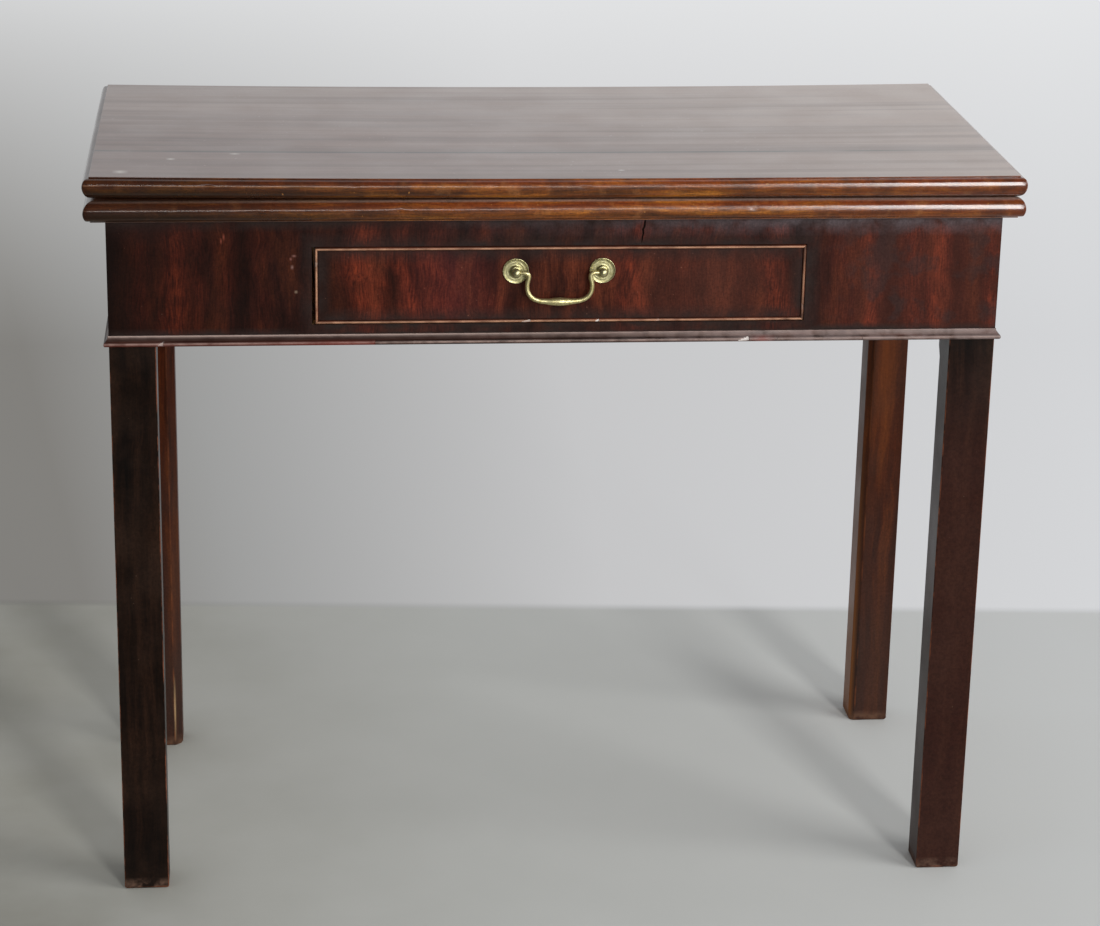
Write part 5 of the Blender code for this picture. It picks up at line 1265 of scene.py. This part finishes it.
print("bail vertices:", len(bail.data.vertices))

# %% [markdown]
# ## Hinges, screws and the knuckle pin
# The hinges are brass butts let into the leaves' back edges, each held by four countersunk
# screws. Slots are cut across the heads, as every hand-made screw has them.

# %% Hinges and their screws
HEAD_MM, HEAD_DEEP_MM, HEAD_SUNK = 1.7, 1.4, 0.25 * MM
SCREW_STEP, SCREW_OFF_PIN, BACK_EDGE_Y = 0.021, 0.0075, 0.21475
HEAD_PROFILE = ((1.6, -HEAD_DEEP_MM), (HEAD_MM - 0.15, -0.25), (HEAD_MM, -0.1),
                (HEAD_MM - 0.1, 0.0))


def cut_slot(head, centre, axis, half_mm, deep_mm):
    """Cut a slot across a screw head, at a random turn; axis points out of the surface."""
    slot_turn = Matrix.Rotation(math.radians(random.uniform(0, 180)), 4, "Z")
    cutter = block(head.name + " slot", (-9 * MM, -half_mm * MM, -deep_mm * MM),
                   (9 * MM, half_mm * MM, 2 * MM))
    spin = axis.to_track_quat("Z", "Y").to_matrix().to_4x4()
    cutter.matrix_world = Matrix.Translation(centre) @ spin @ slot_turn
    bpy.context.view_layer.update()
    return shade(carve(head, cutter), 30)


random.seed(11)
for side, _ in SIDES:
    pin_low, pin_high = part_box(f"hinge_pin_{side}")
    for leaf, body, off in (("fixed", "frame", -SCREW_OFF_PIN), ("flap", "flap", SCREW_OFF_PIN)):
        node = f"hinge_plate_{leaf}_{side}"
        eased(node, f"brass_butt_{leaf}_{side}", 0.2, hinge_brass, "brass", body)
        low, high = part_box(node)
        for letter, step in (("a", -1), ("b", 1)):
            place = Vector(((low.x + high.x) / 2 + step * SCREW_STEP, BACK_EDGE_Y - HEAD_SUNK,
                            (pin_low.z + pin_high.z) / 2 + off))
            head = turned(f"hinge_screw_{leaf}_{side}_{letter}", place, Y, HEAD_PROFILE, 28,
                          hinge_brass)
            settle(cut_slot(head, place, Y, 0.35, 0.8), body, "brass")
    eased(f"hinge_pin_{side}", f"hinge_pin_{side}_eased", 0.2, hinge_brass, "brass", "frame")
print("hinge screws:", 8)

# %% Carcase screws and the knuckle pin
top_screws = [(f"top_screw_{side}_{number}", f"slotted_top_screw_{side}_{number}", -Z)
              for side, _ in SIDES for number in (1, 2)]
rail_screws = [(f"fly_rail_screw_{number}", f"slotted_rail_screw_{number}", Y) for number in (1, 2)]
for node, name, axis in top_screws + rail_screws:
    low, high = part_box(node)
    centre = (low + high) / 2
    if axis == Y:
        centre.y = high.y
    else:
        centre.z = low.z
    screw = packed_copy(node, name, iron, flat=False)
    settle(cut_slot(screw, centre, axis, 0.45, 1.1), "frame", "iron", node)
eased("knuckle_pin", "knuckle_pin_eased", 0.4, iron, "iron", "gate")
print("pieces made:", len(made_pieces))

# %% [markdown]
# ## Floor, backdrop and light
# The table stands on a pale concrete floor in soft daylight. The floor is one large sheet;
# beyond the table it turns to the paler grey of a wall, which for this camera looks like one.
# Daylight comes low from the front right, where it draws the bright line on the moulded edge,
# and more of it from the right, which throws the soft shadows to the left.

# %% Floor
WALL_LINE_Y, WALL_SLANT, WALL_SOFT = 0.549, 0.068, 11 * MM
WALL_GLOW = 0.85


def rays_of(tree):
    """Outputs that are 1 for mirrored rays, for mirrored or refracted ones, and for all seen."""
    path = add(tree, "LightPath").node.outputs
    bent = most(tree, path["Is Glossy Ray"], path["Is Transmission Ray"])
    return path["Is Glossy Ray"], bent, most(tree, path["Is Camera Ray"], bent)


ground = Finish("pale_concrete_floor", Roughness=0.8, Specular_IOR_Level=0.2)
mirrored, _, seen = rays_of(ground.tree)
line = ground.add("Math", {0: ground.x, 1: WALL_SLANT, 2: ground.y}, operation="MULTIPLY_ADD")
wall = ground.add("MapRange", {"Value": line, "From Min": WALL_LINE_Y - WALL_SOFT,
                               "From Max": WALL_LINE_Y + WALL_SOFT})
# Painted light and shade: the floor's grey runs from darker on the left to paler on the right, and
# is darker still at the front left; it is also a little darker toward the front.
ground.colour = ground.add("ValToRGB", {"Fac": ground.fade("x", -550, 700)}, take="Color",
                           stops=[(0.0, "#a3a196"), (1.0, "#d4d5d3"), (0.4, "#c4c5c0")])
nearer = ground.fade("y", 100, -700)
ground.stain("#5e5b51", nearer, ground.fade("x", -300, -600), 0.88)
ground.stain("#8c8c88", nearer, 0.12)
ground.stain("#d2d2ce", ground.blotches(160, 0.3, 0.7, 5.0), 0.25)
# Painted reflection: polish and brass mirror the floor in front of the table darker than it is.
ground.stain("#4c4b48", ground.fade("y", -250, -750), 0.7, mirrored)
# Painted light on the wall part: its grey is darker on the left, paler on the right and paler
# further back, and for seen and mirrored rays it glows.
spread = ground.add("Math", {0: ground.y, 1: 0.28, 2: 0.85}, operation="MULTIPLY_ADD")
fanned = ground.add("Math", {0: ground.x, 1: spread}, operation="DIVIDE")
fanned = ground.add("MapRange", {"Value": fanned, "From Min": -0.5, "From Max": 0.8})
backdrop = ground.add("ValToRGB", {"Fac": fanned}, take="Color",
                      stops=[(0.0, "#85837f"), (1.0, "#d8d9db"), (0.15, "#a1a1a0"),
                             (0.5, "#cacacb")])
further = times(ground.tree, ground.fade("y", 1700, 4800), 0.68)
backdrop = tint(ground.tree, further, backdrop, "#f4f5f6")
ground.stain(backdrop, wall)
glow = ground.add("Emission", {"Color": backdrop, "Strength": 1.0})
mixed = ground.add("MixShader", {0: times(ground.tree, wall, seen, WALL_GLOW),
                                 1: ground.shader.outputs[0], 2: glow})
ground.tree.links.new(mixed, ground.tree.nodes["Material Output"].inputs["Surface"])
mesh_data = bmesh.new()
bmesh.ops.create_grid(mesh_data, x_segments=2, y_segments=2, size=9.0)
solid("floor", mesh_data, ground.done())
print("backdrop line at y =", WALL_LINE_Y)

# %% Lamps
# (name, place, what it faces, width and height in metres, watts)
for name, place, aim, size, watts in (
        ("front_window", (2.1, -6.2, 2.4), (0.1, -0.2, 0.7), (0.9, 4.0), 228),
        ("window_bar", (0.0, -6.2, 2.4), (-0.1, -0.2, 0.7), (2.0, 0.26), 16),
        ("right_window", (4.9, -2.6, 3.2), (0, 0, 0.4), (3.0, 2.7), 150)):
    light = bpy.data.lights.new(name, "AREA")
    light.shape, light.size, light.size_y = "RECTANGLE", *size
    light.energy = watts
    lamp = bpy.data.objects.new(name, light)
    lamp.location = place
    lamp.rotation_euler = (Vector(aim) - Vector(place)).to_track_quat("-Z", "Y").to_euler()
    lamp.visible_camera = False
    bpy.context.scene.collection.objects.link(lamp)
print("lamps:", len(bpy.data.lights))

# %% World
# The room is paler to the right. Polish and brass also mirror the room in front of the table,
# which is dimmer than the wall behind it.
world = bpy.data.worlds.new("pale_room")
bpy.context.scene.world = world
world.use_nodes = True
tree = world.node_tree
_, bent, seen = rays_of(tree)
toward = add(tree, "SeparateXYZ", {0: add(tree, "TexCoord", take="Generated")}).node.outputs
sideways = add(tree, "MapRange", {"Value": toward[0], "From Min": -0.10, "From Max": 0.30})
room = add(tree, "ValToRGB", {"Fac": sideways}, take="Color",
           stops=[(0.0, "#c2c2c3"), (1.0, "#f4f5f6"), (0.4, "#dcdddf")])
in_front = add(tree, "MapRange", {"Value": toward[1], "From Min": 0.15, "From Max": -0.15})
room = tint(tree, times(tree, in_front, bent), room, "#464442")
soft = add(tree, "Background", {"Color": "#f4f6fa", "Strength": 0.50})
pale = add(tree, "Background", {"Color": room, "Strength": 1.0})
mixed = add(tree, "MixShader", {0: seen, 1: soft, 2: pale})
tree.links.new(mixed, tree.nodes["World Output"].inputs["Surface"])
bpy.context.scene.view_settings.view_transform = "Standard"
print("world ready")
